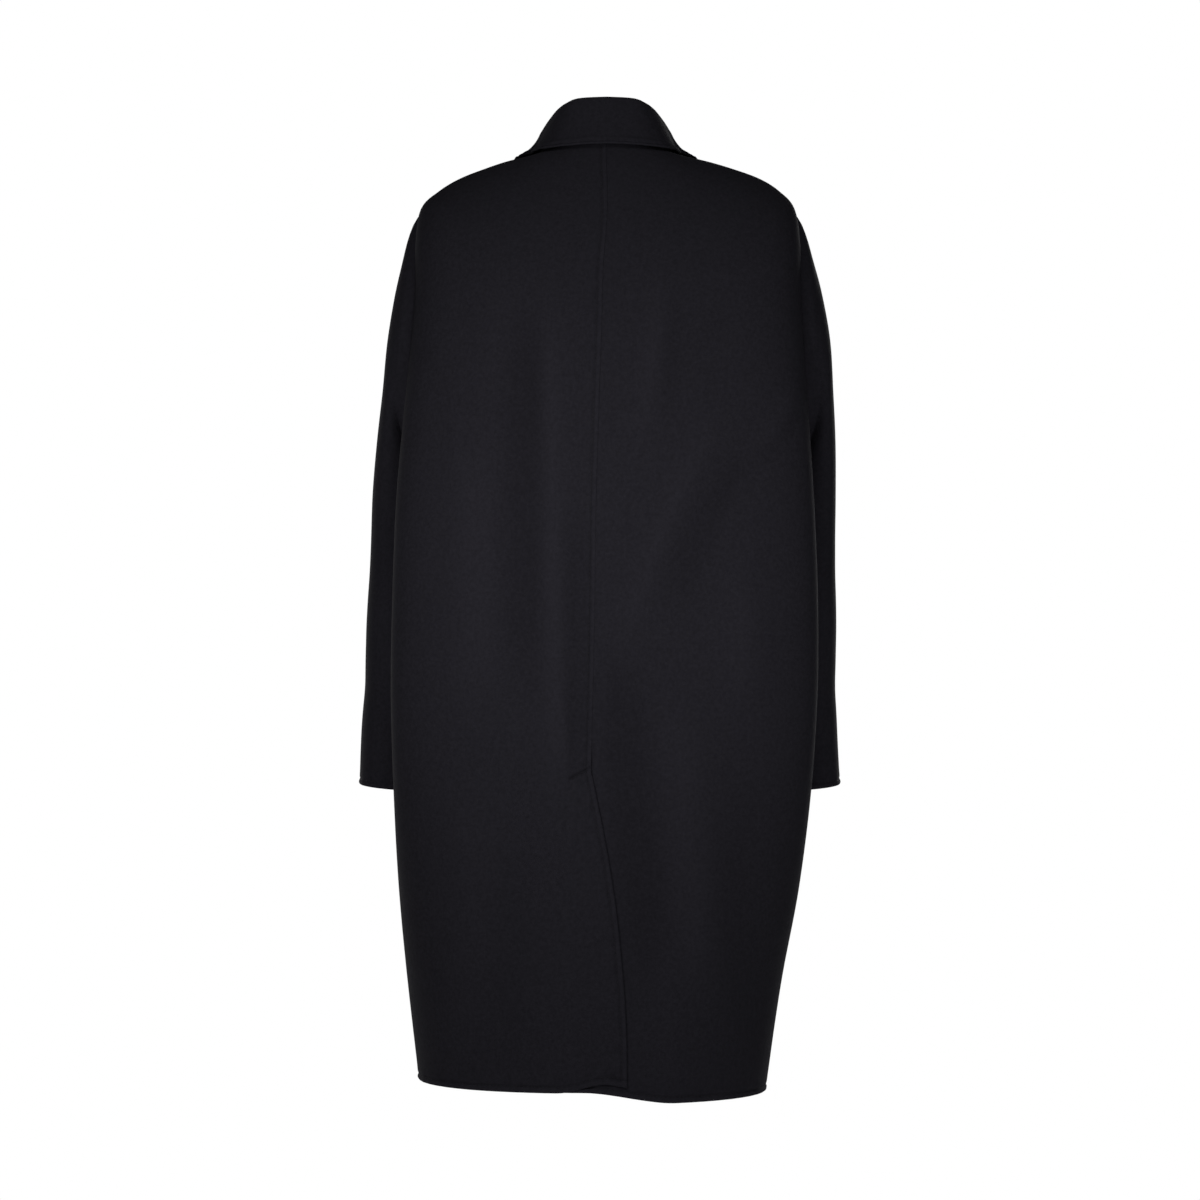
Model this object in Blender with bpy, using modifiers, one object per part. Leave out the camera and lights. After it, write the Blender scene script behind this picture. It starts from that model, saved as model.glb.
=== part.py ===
"""Oversized cocoon coat in black double-faced wool, hollow and filled out as if worn.

Metres, +Z up.  The coat faces -Y, the wearer's left is +X, and the origin lies on the
middle plane at the height of the shoulder seams' neck ends.  The tables are in millimetres.

The body is one surface, girth(side, ring, station).  Rings run from the neck seam (0) to the
hem.  Stations run round one half of the coat: 0 centre back, 1 back corner, 2 flank, 3 centre
front.  Below 0 or above 3 a station is on the other half, which is how panels lap.
"""

import math
from collections import namedtuple

import bmesh
import bpy
import numpy as np

MM = 0.001

# Cloth and seams
CLOTH = 2.4 * MM
SEAM_GAP = 0.3 * MM
NECK_SEAM_GAP = 1.2 * MM
GORGE_GAP = 1.0 * MM
LAP_CLEARANCE = 1.5 * MM
WOOL_COLOUR = (0.012, 0.0115, 0.014, 1.0)
WOOL_ROUGHNESS = 0.9

# Rings of the body, neck seam to hem
Ring = namedtuple(
    "Ring",
    "back_y back_z corner_x corner_y side_z flank_x flank_y front_y front_z lean",
)
RINGS = [
    Ring(66, 14, 76, 10, 0, 76, -10, -70, -58, -1),
    Ring(86, -14, 107, 10, -5, 107, -12, -92, -84, -2),
    Ring(102, -42, 137, 11, -14, 137, -14, -108, -108, -4),
    Ring(115, -70, 165, 14, -25, 164, -18, -121, -130, -5),
    Ring(126, -98, 188, 22, -38, 186, -28, -131, -152, -5),
    Ring(135, -127, 202, 34, -55, 199, -40, -139, -174, -5),
    Ring(144, -162, 207, 50, -96, 196, -56, -147, -202, -4),
    Ring(151, -206, 209, 63, -151, 189, -66, -153, -235, -3),
    Ring(157, -262, 213, 73, -217, 181, -65, -157, -278, -2),
    Ring(161, -328, 219, 81, -292, 172, -50, -160, -333, -1),
    Ring(164, -402, 225, 86, -377, 166, -34, -161, -402, 0),
    Ring(166, -492, 229, 87, -477, 164, -26, -162, -492, 0),
    Ring(166, -592, 230, 84, -582, 167, -24, -161, -592, 1),
    Ring(165, -692, 226, 70, -687, 178, -24, -159, -692, 3),
    Ring(162, -792, 218, 42, -792, 202, -20, -156, -792, 7),
    Ring(157, -892, 205, 22, -892, 201, -18, -151, -892, 12),
    Ring(150, -1010, 190, 12, -1010, 188, -14, -144, -1010, 14),
]
BACK_FULLNESS = 0.60
SIDE_FULLNESS = 0.46
FRONT_FULLNESS = 0.58
HEM_RING = len(RINGS) - 1
RIGHT_DROP = 12 * MM
VENT_CORNER_RISE = 0.09

# Armhole: an oval in rings and stations round the side seam
SHOULDER_STATION = 1.5
ARMHOLE_TOP = 5.0
ARMHOLE_BOTTOM = 9.3
ARMHOLE_HALF_STATION = 0.5
ARMHOLE_MIDDLE = (ARMHOLE_TOP + ARMHOLE_BOTTOM) / 2
ARMHOLE_HALF_RINGS = (ARMHOLE_BOTTOM - ARMHOLE_TOP) / 2

# Back vent: the left back laps over the right
VENT_TOP_RING = 12.4
VENT_EDGE_RING = 12.75
VENT_LAP_AT_HEM = 51.5 * MM
VENT_LAP_BEND = 0.62
VENT_CLEARANCE = 2.3 * MM
SEAM_DRIFT_PER_RING = 1.07 * MM
VENT_UNDERLAP = 28 * MM
VENT_SETTLE = 40 * MM

# Front: the left front laps over the right, and both turn back as lapels
ROLL_TOP_X = 76 * MM
ROLL_BREAK_X = -42 * MM
ROLL_BREAK_Z = -360 * MM
FRONT_LAP = 45 * MM
FRONT_SETTLE = 35 * MM
NECK_FRONT_STATION = 2.15
GORGE_RING = 2.0
GORGE_SHEAR = 0.034 / MM
ROLL_RADIUS = 1.5 * MM
LAPEL_NOTCH_WIDTH = 82 * MM
LAPEL_TIP_WIDTH = 2 * MM
CROSSING_LIFT = 5.8 * MM
CROSSING_TOP_Z = -195 * MM
CROSSING_LOW_Z = -375 * MM
CROSSING_FADE = 70 * MM

# Collar, from centre back (0) past the shoulder seam (1) to the gorge (2)
CollarStation = namedtuple("CollarStation", "place roll_x roll_y roll_z cover edge_lift")
COLLAR = [
    CollarStation(0.00, 0, 62, 54, 6.5, 4.0),
    CollarStation(0.12, 27.5, 56.5, 53, 6.5, 4.0),
    CollarStation(0.22, 38.5, 48.5, 49.5, 6.5, 4.0),
    CollarStation(0.33, 47, 35, 44.5, 5.5, 4.5),
    CollarStation(0.50, 56, 13, 36.5, 5, 5.5),
    CollarStation(0.67, 61.5, 1, 30, 6.5, 6.0),
    CollarStation(0.85, 67, -10, 22, 9.5, 5.8),
    CollarStation(1.00, 69.5, -23, 12, 13, 5.0),
    CollarStation(1.12, 67.5, -37.5, -2, 20, 4.5),
    CollarStation(1.25, 61.5, -53, -19.5, 34, 4.0),
    CollarStation(1.50, 49.5, -75.5, -52, 44, 4.0),
    CollarStation(1.75, 42.5, -91.5, -78.5, 52, 4.0),
    CollarStation(2.00, 37.8, -102, -96, 58, 4.0),
]
COLLAR_ROLL_RADIUS = 2.6 * MM

# Sleeve sections, armhole to cuff: the outer and the inner point, and the depth across them
SleeveSection = namedtuple(
    "SleeveSection", "outer_x outer_z inner_x inner_z middle_y half_depth turn right_x"
)
SLEEVE = [
    SleeveSection(202, -55, 192, -300, -3, 66, 0, 5),
    SleeveSection(216, -84, 201, -306, -9, 72, 4, 6),
    SleeveSection(222, -128, 208, -314, -15, 74, 8, 7),
    SleeveSection(229, -180, 208, -325, -23, 77, 12, 9),
    SleeveSection(233, -240, 202, -342, -32, 80, 15, 7),
    SleeveSection(239, -300, 194, -366, -42, 81, 18, 3),
    SleeveSection(245, -364, 186, -402, -50, 81, 20, -2),
    SleeveSection(250, -432, 182, -452, -56, 79, 20, -5),
    SleeveSection(256, -502, 183, -512, -61, 76, 19, -8),
    SleeveSection(261, -572, 186, -577, -66, 73, 17, -11),
    SleeveSection(267, -634, 191, -638, -71, 70, 15, -13),
    SleeveSection(270, -690, 197, -698, -76, 67, 14, -12),
]
SLEEVE_BLEND = 3.5
SLEEVE_INSET = 0.6 * MM
SLEEVE_HEAD_STEP = 1.3 * MM
SLEEVE_UNDERARM_STEP = 0.8 * MM

# Largest folds: a soft ridge or trough along a line down the back or the front
Fold = namedtuple("Fold", "face top_x top_z low_x low_z half_width height")
BACK, FRONT = 1, -1
FOLDS = [
    Fold(BACK, 58, -180, 52, -680, 17, 5.0),
    Fold(BACK, 90, -200, 91, -560, 20, -6.0),
    Fold(BACK, 140, -330, 143, -590, 28, 4.0),
    Fold(BACK, 28, -420, 28, -670, 13, -4.0),
    Fold(BACK, -60, -150, -42, -290, 17, 4.0),
    Fold(BACK, -150, -330, -84, -480, 20, -4.0),
    Fold(BACK, -147, -470, -148, -590, 26, 4.0),
    Fold(BACK, -14, -560, -48, -870, 26, -6.0),
    Fold(BACK, -82, -620, -104, -900, 26, 5.0),
    Fold(FRONT, 146, -330, 138, -860, 26, 4.5),
    Fold(FRONT, 104, -420, 102, -930, 30, -4.5),
    Fold(FRONT, -142, -340, -134, -880, 28, 4.5),
    Fold(FRONT, -104, -430, -100, -950, 30, -4.5),
]
FOLD_FADE = 90 * MM

# Sleeve folds: section, angle round the sleeve in degrees, reach along and round, height
SleeveFold = namedtuple("SleeveFold", "section angle reach spread height")
SLEEVE_FOLDS = [
    SleeveFold(4.6, 235, 0.9, 60, -3.0),
    SleeveFold(6.6, 120, 0.6, 55, -4.0),
    SleeveFold(7.6, 250, 0.6, 60, -4.5),
    SleeveFold(8.6, 140, 0.6, 55, 3.0),
]

# Mesh steps
SHOULDER_ROWS = 11
ARMHOLE_ROWS = 11
LOWER_ROWS = 14
BACK_COLUMNS = 13
FRONT_COLUMNS = 14
UNDERLAP_COLUMNS = 2
COLUMN_CROWDING = 1.35
CORNER_COLUMNS = 4
CORNER_CROWDING = 1.2
BACK_KNEE = 0.75
FRONT_KNEE = 2.25
FRONT_KNEE_SHARE = 0.45
LAPEL_ROLL_STEPS = 3
LAPEL_COLUMNS = 5
SLEEVE_ROWS = 21
SLEEVE_SIDES = 2 * (ARMHOLE_ROWS - 1)
COLLAR_COLUMNS = 33
STAND_STEPS = 3
COLLAR_ROLL_STEPS = 4
FALL_STEPS = 6
DIFFERENCE = 1e-3


def column_arrays(rows):
    """Each column of a table as an array."""
    return {name: np.array([getattr(row, name) for row in rows], float) for name in rows[0]._fields}


def along(column, position):
    """A table column read smoothly (Catmull-Rom) at fractional row positions."""
    last = len(column) - 1
    row = np.clip(np.floor(position).astype(int), 0, last - 1)
    part = position - row
    before = column[np.maximum(row - 1, 0)]
    here = column[row]
    after = column[row + 1]
    beyond = column[np.minimum(row + 2, last)]
    slope_here = (after - before) / 2
    slope_after = (beyond - here) / 2
    rise = after - here
    bend = 3 * rise - 2 * slope_here - slope_after
    twist = slope_here + slope_after - 2 * rise
    return here + part * (slope_here + part * (bend + part * twist))


def ease(value, low=0.0, high=1.0):
    """0 at low, 1 at high, smooth between."""
    part = np.clip((value - low) / (high - low), 0.0, 1.0)
    return part * part * (3 - 2 * part)


def arc(start, start_handle, end_handle, end, part):
    """One coordinate of a cubic curve."""
    rest = 1 - part
    return (
        rest**3 * start
        + 3 * rest**2 * part * start_handle
        + 3 * rest * part**2 * end_handle
        + part**3 * end
    )


def length_of(vectors):
    return np.sqrt((vectors**2).sum(-1))


def unit(vectors):
    return vectors / length_of(vectors)[..., None]


RING_COLUMNS = column_arrays(RINGS)
SLEEVE_COLUMNS = column_arrays(SLEEVE)
COLLAR_COLUMNS_BY_NAME = column_arrays(COLLAR)


def smooth_girth(side, ring, station):
    """The body's outer face without folds."""
    ring, station = np.broadcast_arrays(np.asarray(ring, float), np.asarray(station, float))
    crossed = (station < 0) | (station > 3)
    half = np.where(crossed, -side, side)
    station = np.where(station < 0, -station, np.where(station > 3, 6 - station, station))
    read = {name: along(values, ring) * MM for name, values in RING_COLUMNS.items()}
    back_y, corner_x, corner_y = read["back_y"], read["corner_x"], read["corner_y"]
    flank_x, flank_y, front_y = read["flank_x"], read["flank_y"], read["front_y"]
    zero = np.zeros_like(back_y)

    part = np.clip(station, 0, 1)
    depth = BACK_FULLNESS * (back_y - corner_y)
    x = arc(zero, BACK_FULLNESS * corner_x, corner_x, corner_x, part)
    y = arc(back_y, back_y, corner_y + depth, corner_y, part)
    z = read["back_z"] + (read["side_z"] - read["back_z"]) * ease(part)

    part = np.clip(station - 1, 0, 1)
    depth = SIDE_FULLNESS * (corner_y - flank_y)
    on_side = station > 1
    x = np.where(on_side, arc(corner_x, corner_x, flank_x, flank_x, part), x)
    y = np.where(on_side, arc(corner_y, corner_y - depth, flank_y + depth, flank_y, part), y)

    part = np.clip(station - 2, 0, 1)
    depth = FRONT_FULLNESS * (flank_y - front_y)
    on_front = station > 2
    x = np.where(on_front, arc(flank_x, flank_x, FRONT_FULLNESS * flank_x, zero, part), x)
    y = np.where(on_front, arc(flank_y, flank_y - depth, front_y, front_y, part), y)
    front_z = read["side_z"] + (read["front_z"] - read["side_z"]) * ease(part)
    z = np.where(on_front, front_z, z)

    x = half * x
    z = z - RIGHT_DROP * ease(-x, -0.01, 0.09) * ease(ring, HEM_RING - 5, HEM_RING)
    return np.stack([x + read["lean"], y, z], axis=-1)


def across(side, ring, station):
    """Change of the smooth body for one station."""
    step = DIFFERENCE
    ahead = smooth_girth(side, ring, station + step)
    return (ahead - smooth_girth(side, ring, station - step)) / (2 * step)


def down(side, ring, station):
    """Change of the smooth body for one ring."""
    low = np.clip(ring - DIFFERENCE, 0, HEM_RING)
    high = np.clip(ring + DIFFERENCE, 0, HEM_RING)
    change = smooth_girth(side, high, station) - smooth_girth(side, low, station)
    return change / (high - low)[..., None]


def outward(side, ring, station):
    """Unit normal of the smooth body, away from the wearer."""
    return unit(side * np.cross(across(side, ring, station), down(side, ring, station)))


def fold_height(points):
    """How far the folds lift the cloth at these points of the smooth body."""
    total = np.zeros(points.shape[:-1])
    for fold in FOLDS:
        top_z, low_z = fold.top_z * MM, fold.low_z * MM
        part = np.clip((points[..., 2] - top_z) / (low_z - top_z), 0, 1)
        line_x = (fold.top_x + (fold.low_x - fold.top_x) * part) * MM
        across_it = (points[..., 0] - line_x) / (fold.half_width * MM)
        window = ease(points[..., 2], low_z - FOLD_FADE / 2, low_z + FOLD_FADE / 2)
        window = window * (1 - ease(points[..., 2], top_z - FOLD_FADE / 2, top_z + FOLD_FADE / 2))
        facing = ease(fold.face * points[..., 1], 0.02, 0.09)
        total += fold.height * MM * np.exp(-(across_it**2)) * window * facing
    return total


def girth(side, ring, station, lift=0.0):
    """The body's outer face with its folds, moved out by lift."""
    ring, station = np.broadcast_arrays(np.asarray(ring, float), np.asarray(station, float))
    points = smooth_girth(side, ring, station)
    height = fold_height(points) + lift
    return points + outward(side, ring, station) * height[..., None]


def armhole_half_station(ring):
    """Half the armhole's width at a ring, in stations."""
    part = np.clip((ring - ARMHOLE_MIDDLE) / ARMHOLE_HALF_RINGS, -1, 1)
    return ARMHOLE_HALF_STATION * np.sqrt(1 - part**2)


def seam_station(side, ring, toward):
    """A panel's edge at the shoulder, armhole or side seam: toward is -1 on the back, 1 on the front."""
    edge = SHOULDER_STATION + toward * armhole_half_station(ring)
    speed = length_of(across(side, ring, edge))
    return edge + toward * SEAM_GAP / 2 / speed


def body_rows():
    """Ring positions from neck to hem, closer together round the armhole and at the vent's top."""
    shoulder = np.linspace(0, ARMHOLE_TOP, SHOULDER_ROWS)
    steps = np.linspace(0, math.pi, ARMHOLE_ROWS)
    armhole = ARMHOLE_MIDDLE - ARMHOLE_HALF_RINGS * np.cos(steps)
    lower = np.linspace(ARMHOLE_BOTTOM, HEM_RING, LOWER_ROWS)
    for exact in (VENT_TOP_RING, VENT_EDGE_RING):
        lower[np.argmin(abs(lower - exact))] = exact
    return np.concatenate([shoulder, armhole[1:], lower[1:]])


def panel_stations(crowded, knee, seam, columns):
    """Stations of a panel's columns: crowded at the lapped edge, then from the knee to the seam."""
    steps = np.linspace(0, 1, columns - CORNER_COLUMNS) ** COLUMN_CROWDING
    spread = crowded[:, None] + (knee - crowded)[:, None] * steps
    round_corner = 1 - np.linspace(1, 0, CORNER_COLUMNS + 1)[1:] ** CORNER_CROWDING
    return np.concatenate([spread, knee[:, None] + (seam - knee)[:, None] * round_corner], axis=1)


def vent_share(ring):
    """0 where the vent's edge leaves the centre seam, 1 at the hem."""
    return np.clip((ring - VENT_EDGE_RING) / (HEM_RING - VENT_EDGE_RING), 0, 1)


def station_for(side, ring, place, low, high):
    """The station between low and high where place(points, ring) changes from above 0 to below it."""
    low = np.full_like(ring, low)
    high = np.full_like(ring, high)
    for _ in range(40):
        middle = (low + high) / 2
        above = place(smooth_girth(side, ring, middle), ring) > 0
        low = np.where(above, middle, low)
        high = np.where(above, high, middle)
    return (low + high) / 2


def roll_x(z):
    """Half-width of the neck opening at a height: the line from the neck point to the break."""
    return ROLL_TOP_X + (ROLL_BREAK_X - ROLL_TOP_X) * z / ROLL_BREAK_Z


def front_edge_station(side, ring):
    """Front edge of a front: the roll line down to the break, then the lapped edge."""

    def beyond_edge(points, rings):
        lean = along(RING_COLUMNS["lean"], rings) * MM
        own_x = side * (points[..., 0] - lean)
        return own_x - np.maximum(roll_x(np.minimum(points[..., 2], 0)), -FRONT_LAP)

    return np.maximum(station_for(side, ring, beyond_edge, SHOULDER_STATION, 4.2), NECK_FRONT_STATION)


def back_panel(side):
    """Grid of one back: centre seam and vent edge to the shoulder, armhole and side seam."""
    rings = body_rows()
    outer = seam_station(side, rings, -1)
    share = vent_share(rings)
    speed = length_of(across(side, rings, np.zeros_like(rings)))
    half_gap = SEAM_GAP * 0.75 / speed
    drift = SEAM_DRIFT_PER_RING * np.minimum(rings, VENT_EDGE_RING)
    lap = VENT_LAP_AT_HEM * share**VENT_LAP_BEND
    lap_over = side > 0
    if lap_over:
        inner = half_gap + (drift - lap) / speed
    else:
        inner = half_gap - drift / speed
    stations = panel_stations(inner, np.full_like(outer, BACK_KNEE), outer, BACK_COLUMNS)
    rows = np.broadcast_to(rings[:, None], stations.shape)
    if lap_over:
        past_seam = ease(-stations * speed[:, None], -0.04, 0.02)
        rise = VENT_CORNER_RISE * past_seam * ease(rows, HEM_RING - 1.5, HEM_RING)
        return [girth(side, rows - rise, stations)]
    reach = lap - drift + VENT_SETTLE / 2
    from_seam = stations * speed[:, None]
    sunk = 1 - ease(from_seam, reach[:, None], reach[:, None] + VENT_SETTLE)
    sunk = sunk * (rows > VENT_TOP_RING)
    lift = -(CLOTH + VENT_CLEARANCE) * sunk
    panel = girth(side, rows, stations, lift)
    below = rings > VENT_TOP_RING
    under = np.linspace(1, 0, UNDERLAP_COLUMNS + 1) * -VENT_UNDERLAP / speed[below][:, None]
    under = under + inner[below][:, None]
    under_rows = np.broadcast_to(rings[below][:, None], under.shape)
    underlap = girth(side, under_rows, under, -(CLOTH + VENT_CLEARANCE))
    underlap[:, -1] = panel[below, 0]
    return [panel, underlap]


def front_lift(side, points):
    """The right front sinks under the left, and the left rises over the right's lapel."""
    own_x, z = side * points[..., 0], points[..., 2]
    below_top = 1 - ease(z, CROSSING_TOP_Z, CROSSING_TOP_Z + CROSSING_FADE)
    if side < 0:
        under = 1 - ease(own_x, FRONT_LAP, FRONT_LAP + FRONT_SETTLE)
        return -(CLOTH + LAP_CLEARANCE) * under * below_top
    near = 1 - ease(own_x, FRONT_SETTLE, FRONT_LAP + 2 * FRONT_SETTLE)
    above_low = ease(z, CROSSING_LOW_Z - CROSSING_FADE, CROSSING_LOW_Z)
    return CROSSING_LIFT * near * below_top * above_low


def lifted_front(side, rows, stations, lift=0.0):
    """A front's outer face in its layer, moved out by lift."""
    smooth = smooth_girth(side, rows, stations)
    return girth(side, rows, stations, front_lift(side, smooth) + lift)


def lapel_width(ring, break_ring):
    """Width of the turned-back lapel along its ring, from the notch to the break."""
    part = np.clip((break_ring - ring) / (break_ring - GORGE_RING), 0, 1)
    return LAPEL_TIP_WIDTH + (LAPEL_NOTCH_WIDTH - LAPEL_TIP_WIDTH) * part**0.9


def gorge_shear(ring, break_ring):
    """How far the lapel's rings slope down from the roll line, in rings for each metre."""
    return GORGE_SHEAR * np.clip((break_ring - ring) / (break_ring - GORGE_RING), 0, 1) ** 1.5


def break_ring_of(side):
    """Ring at which the roll line meets the lapped edge."""
    rings = np.linspace(GORGE_RING, HEM_RING / 1.2, 400)
    stations = front_edge_station(side, rings)
    z = smooth_girth(side, rings, stations)[..., 2]
    return float(rings[np.argmax(z < ROLL_BREAK_Z)])


def front_rows(break_ring):
    """The body's rows with the gorge and the break among them."""
    rings = body_rows()
    for exact in (GORGE_RING, break_ring):
        rings[np.argmin(abs(rings - exact))] = exact
    return rings


def front_panel(side):
    """Grids of one front: the panel from its side seam to its edge, and the lapel turned back on it."""
    break_ring = break_ring_of(side)
    rings = front_rows(break_ring)
    outer = seam_station(side, rings, 1)
    edge = front_edge_station(side, rings)
    knee = np.minimum(FRONT_KNEE, outer + FRONT_KNEE_SHARE * (edge - outer))
    stations = panel_stations(edge, knee, outer, FRONT_COLUMNS)[:, ::-1]
    rows = np.broadcast_to(rings[:, None], stations.shape)
    panel = lifted_front(side, rows, stations)

    turned = (rings >= GORGE_RING - 1e-6) & (rings <= break_ring + 1e-6)
    rings, edge = rings[turned], edge[turned]
    speed = length_of(across(side, rings, edge))
    width = lapel_width(rings, break_ring)
    half_turn = math.pi * ROLL_RADIUS
    in_roll = np.linspace(0, 1, LAPEL_ROLL_STEPS + 1) * np.minimum(width, half_turn)[:, None]
    rest = np.maximum(width - half_turn, LAPEL_COLUMNS * SEAM_GAP)
    beyond = half_turn + np.linspace(0, 1, LAPEL_COLUMNS + 1)[1:] * rest[:, None]
    short = np.minimum(width / half_turn, 1)[:, None]
    distance = np.concatenate([in_roll, beyond * short], axis=1)
    turn = np.minimum(distance / ROLL_RADIUS, math.pi)
    back_along = np.maximum(distance - half_turn, 0)
    forward = ROLL_RADIUS * np.sin(turn) - back_along
    lift = ROLL_RADIUS * (1 - np.cos(turn))
    lapel_rows = rings[:, None] + gorge_shear(rings, break_ring)[:, None] * back_along
    lapel = lifted_front(side, lapel_rows, edge[:, None] + forward / speed[:, None], lift)
    lapel[:, 0] = panel[turned, -1]
    return [panel, lapel]


def sleeve_section(side, section, angle):
    """Oval sections of a sleeve before it is fitted: angle 0 is outside, a quarter turn is the back."""
    read = {name: along(values, section) for name, values in SLEEVE_COLUMNS.items()}
    shift = read["right_x"] if side < 0 else 0.0
    outer_x, inner_x = read["outer_x"] + shift, read["inner_x"] + shift / 2
    half_x = (outer_x - inner_x) / 2
    turn = np.radians(read["turn"])
    x = (outer_x + inner_x) / 2 + half_x * np.cos(angle) + read["half_depth"] * np.sin(turn) * np.sin(angle)
    y = read["middle_y"] - half_x * np.tan(turn) * np.cos(angle)
    y = y + read["half_depth"] * np.cos(turn) * np.sin(angle)
    z = (read["outer_z"] + read["inner_z"]) / 2 + (read["outer_z"] - read["inner_z"]) / 2 * np.cos(angle)
    return np.stack([side * x, y, z], axis=-1) * MM


def armhole_loop(side, angle):
    """The armhole's edge, taken in by the seam gap."""
    ring = ARMHOLE_MIDDLE - ARMHOLE_HALF_RINGS * np.cos(angle)
    station = SHOULDER_STATION - ARMHOLE_HALF_STATION * np.sin(angle)
    points = girth(side, ring, station)
    inward = unit(points.mean(axis=0) - points)
    return points + inward * SLEEVE_INSET


def sleeve_grid(side):
    """Grid of a sleeve from the armhole to the cuff, its last column equal to its first."""
    angles = np.linspace(0, 2 * math.pi, SLEEVE_SIDES + 1)
    sections = (len(SLEEVE) - 1) * np.linspace(0, 1, SLEEVE_ROWS)
    section, angle = np.meshgrid(sections, angles, indexing="ij")
    points = sleeve_section(side, section, angle)
    start = sleeve_section(side, np.zeros_like(angles), angles)
    fitted = armhole_loop(side, angles) - start
    fade = 1 - ease(section, 0, SLEEVE_BLEND)
    points = points + fitted[None] * fade[..., None]
    centre = points[:, :-1].mean(axis=1, keepdims=True)
    height = np.zeros_like(section)
    for fold in SLEEVE_FOLDS:
        apart = (np.degrees(angle) - fold.angle + 180) % 360 - 180
        across_it = (section - fold.section + apart / 180 * 0.6) / fold.reach
        height += fold.height * MM * np.exp(-(across_it**2) - (apart / fold.spread) ** 2)
    points = points + unit(points - centre) * height[..., None]
    head = (1 + np.cos(angles)) / 2
    set_off = SLEEVE_UNDERARM_STEP + (SLEEVE_HEAD_STEP - SLEEVE_UNDERARM_STEP) * head
    points[0] += unit(points[1] - points[0]) * set_off[:, None]
    points[:, -1] = points[:, 0]
    return points


def collar_side(side, places):
    """Profiles of half the collar at places 0 (centre back) to 2 (gorge): seam, stand, roll and fall."""
    table = COLLAR_COLUMNS_BY_NAME
    row = np.interp(places, table["place"], np.arange(len(COLLAR)))
    read = {name: along(table[name], row) * MM for name in table}
    cover, edge_lift = read["cover"], read["edge_lift"]
    forward = np.clip(places - 1, 0, 1)
    ring = GORGE_RING * forward
    station = np.where(places <= 1, NECK_FRONT_STATION * places, front_edge_station(side, ring))
    turn_forward = ease(forward)
    away_v = down(side, ring, station)
    away_q = -across(side, ring, station)
    speed_v, speed_q = length_of(away_v), length_of(away_q)
    ring_rate = (1 - turn_forward) / speed_v + turn_forward * GORGE_SHEAR
    station_rate = -turn_forward / speed_q
    away = unit(away_v * ring_rate[:, None] - away_q * station_rate[:, None])
    normal = outward(side, ring, station)
    at_gorge = np.where(places >= 2 - 1e-9, GORGE_GAP, 0.0)
    ring = ring - at_gorge / speed_v
    seam = smooth_girth(side, ring, station)
    seam = seam + normal * front_lift(side, seam)[:, None] * turn_forward[:, None]
    seam = seam - away * (NECK_SEAM_GAP + GORGE_GAP * ease(forward, 0.5, 1.0))[:, None]

    edge_ring = ring + cover * ring_rate
    edge_station = station + cover * station_rate
    on_front = places > 1
    if on_front.any():
        shoulder = np.argmin(abs(places - 1))
        point = np.argmax(places)
        ring_change = edge_ring[point] - edge_ring[shoulder]
        edge_ring = np.where(on_front, edge_ring[shoulder] + ring_change * forward, edge_ring)
        station_change = edge_station[point] - edge_station[shoulder]
        edge_station = np.where(on_front, edge_station[shoulder] + station_change * forward, edge_station)
    edge = lifted_front_or_back(side, edge_ring, edge_station, edge_lift)

    lean = along(RING_COLUMNS["lean"], ring) * MM
    top = np.stack([side * read["roll_x"] + lean, read["roll_y"], read["roll_z"]], axis=-1)
    direction = unit(top - seam)
    side_way = edge - seam
    side_way = unit(side_way - direction * (side_way * direction).sum(-1)[:, None])
    profile = [seam + (top - seam) * part for part in np.linspace(0, 1, STAND_STEPS + 1)]
    radius = COLLAR_ROLL_RADIUS
    for turn in np.linspace(0, math.pi, COLLAR_ROLL_STEPS + 1)[1:]:
        profile.append(top + direction * radius * math.sin(turn) + side_way * radius * (1 - math.cos(turn)))
    start = profile[-1]
    start_lift = ((start - seam) * normal).sum(-1)
    fall = length_of(edge - start)
    before_ring = ring + (edge_ring - ring) * 0.8
    before_station = station + (edge_station - station) * 0.8
    edge_away = unit(edge - lifted_front_or_back(side, before_ring, before_station, edge_lift))
    for part in np.linspace(0, 1, FALL_STEPS + 1)[1:]:
        reach = fall * 0.35
        edge_handle = edge - edge_away * reach[:, None] * 0.6
        hung = arc(start, start - direction * reach[:, None], edge_handle, edge, part)
        lift = start_lift + (edge_lift - start_lift) * part
        part_ring = ring + (edge_ring - ring) * part
        part_station = station + (edge_station - station) * part
        laid = lifted_front_or_back(side, part_ring, part_station, lift)
        profile.append(hung + (laid - hung) * ease(forward, 0.1, 0.6)[:, None])
    return np.stack(profile)


def lifted_front_or_back(side, ring, station, lift):
    """The cloth under the collar, moved out by lift."""
    on_front = ease(np.asarray(station), SHOULDER_STATION, 2.2)
    smooth = smooth_girth(side, ring, station)
    return girth(side, ring, station, lift + front_lift(side, smooth) * on_front)


def collar_grid():
    """Grid of the collar from the left gorge round the back to the right gorge."""
    places = np.linspace(2, 0, COLLAR_COLUMNS // 2 + 1)
    left = collar_side(1, places)
    right = collar_side(-1, places[::-1][1:])
    return np.concatenate([left, right], axis=1)


def add_grid(mesh, points, flip):
    """Adds a grid of points to a bmesh as quads."""
    rows, columns = points.shape[:2]
    corners = [[mesh.verts.new(points[r, c]) for c in range(columns)] for r in range(rows)]
    for r in range(rows - 1):
        for c in range(columns - 1):
            loop = [corners[r][c], corners[r][c + 1], corners[r + 1][c + 1], corners[r + 1][c]]
            mesh.faces.new(loop[::-1] if flip else loop)


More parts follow.
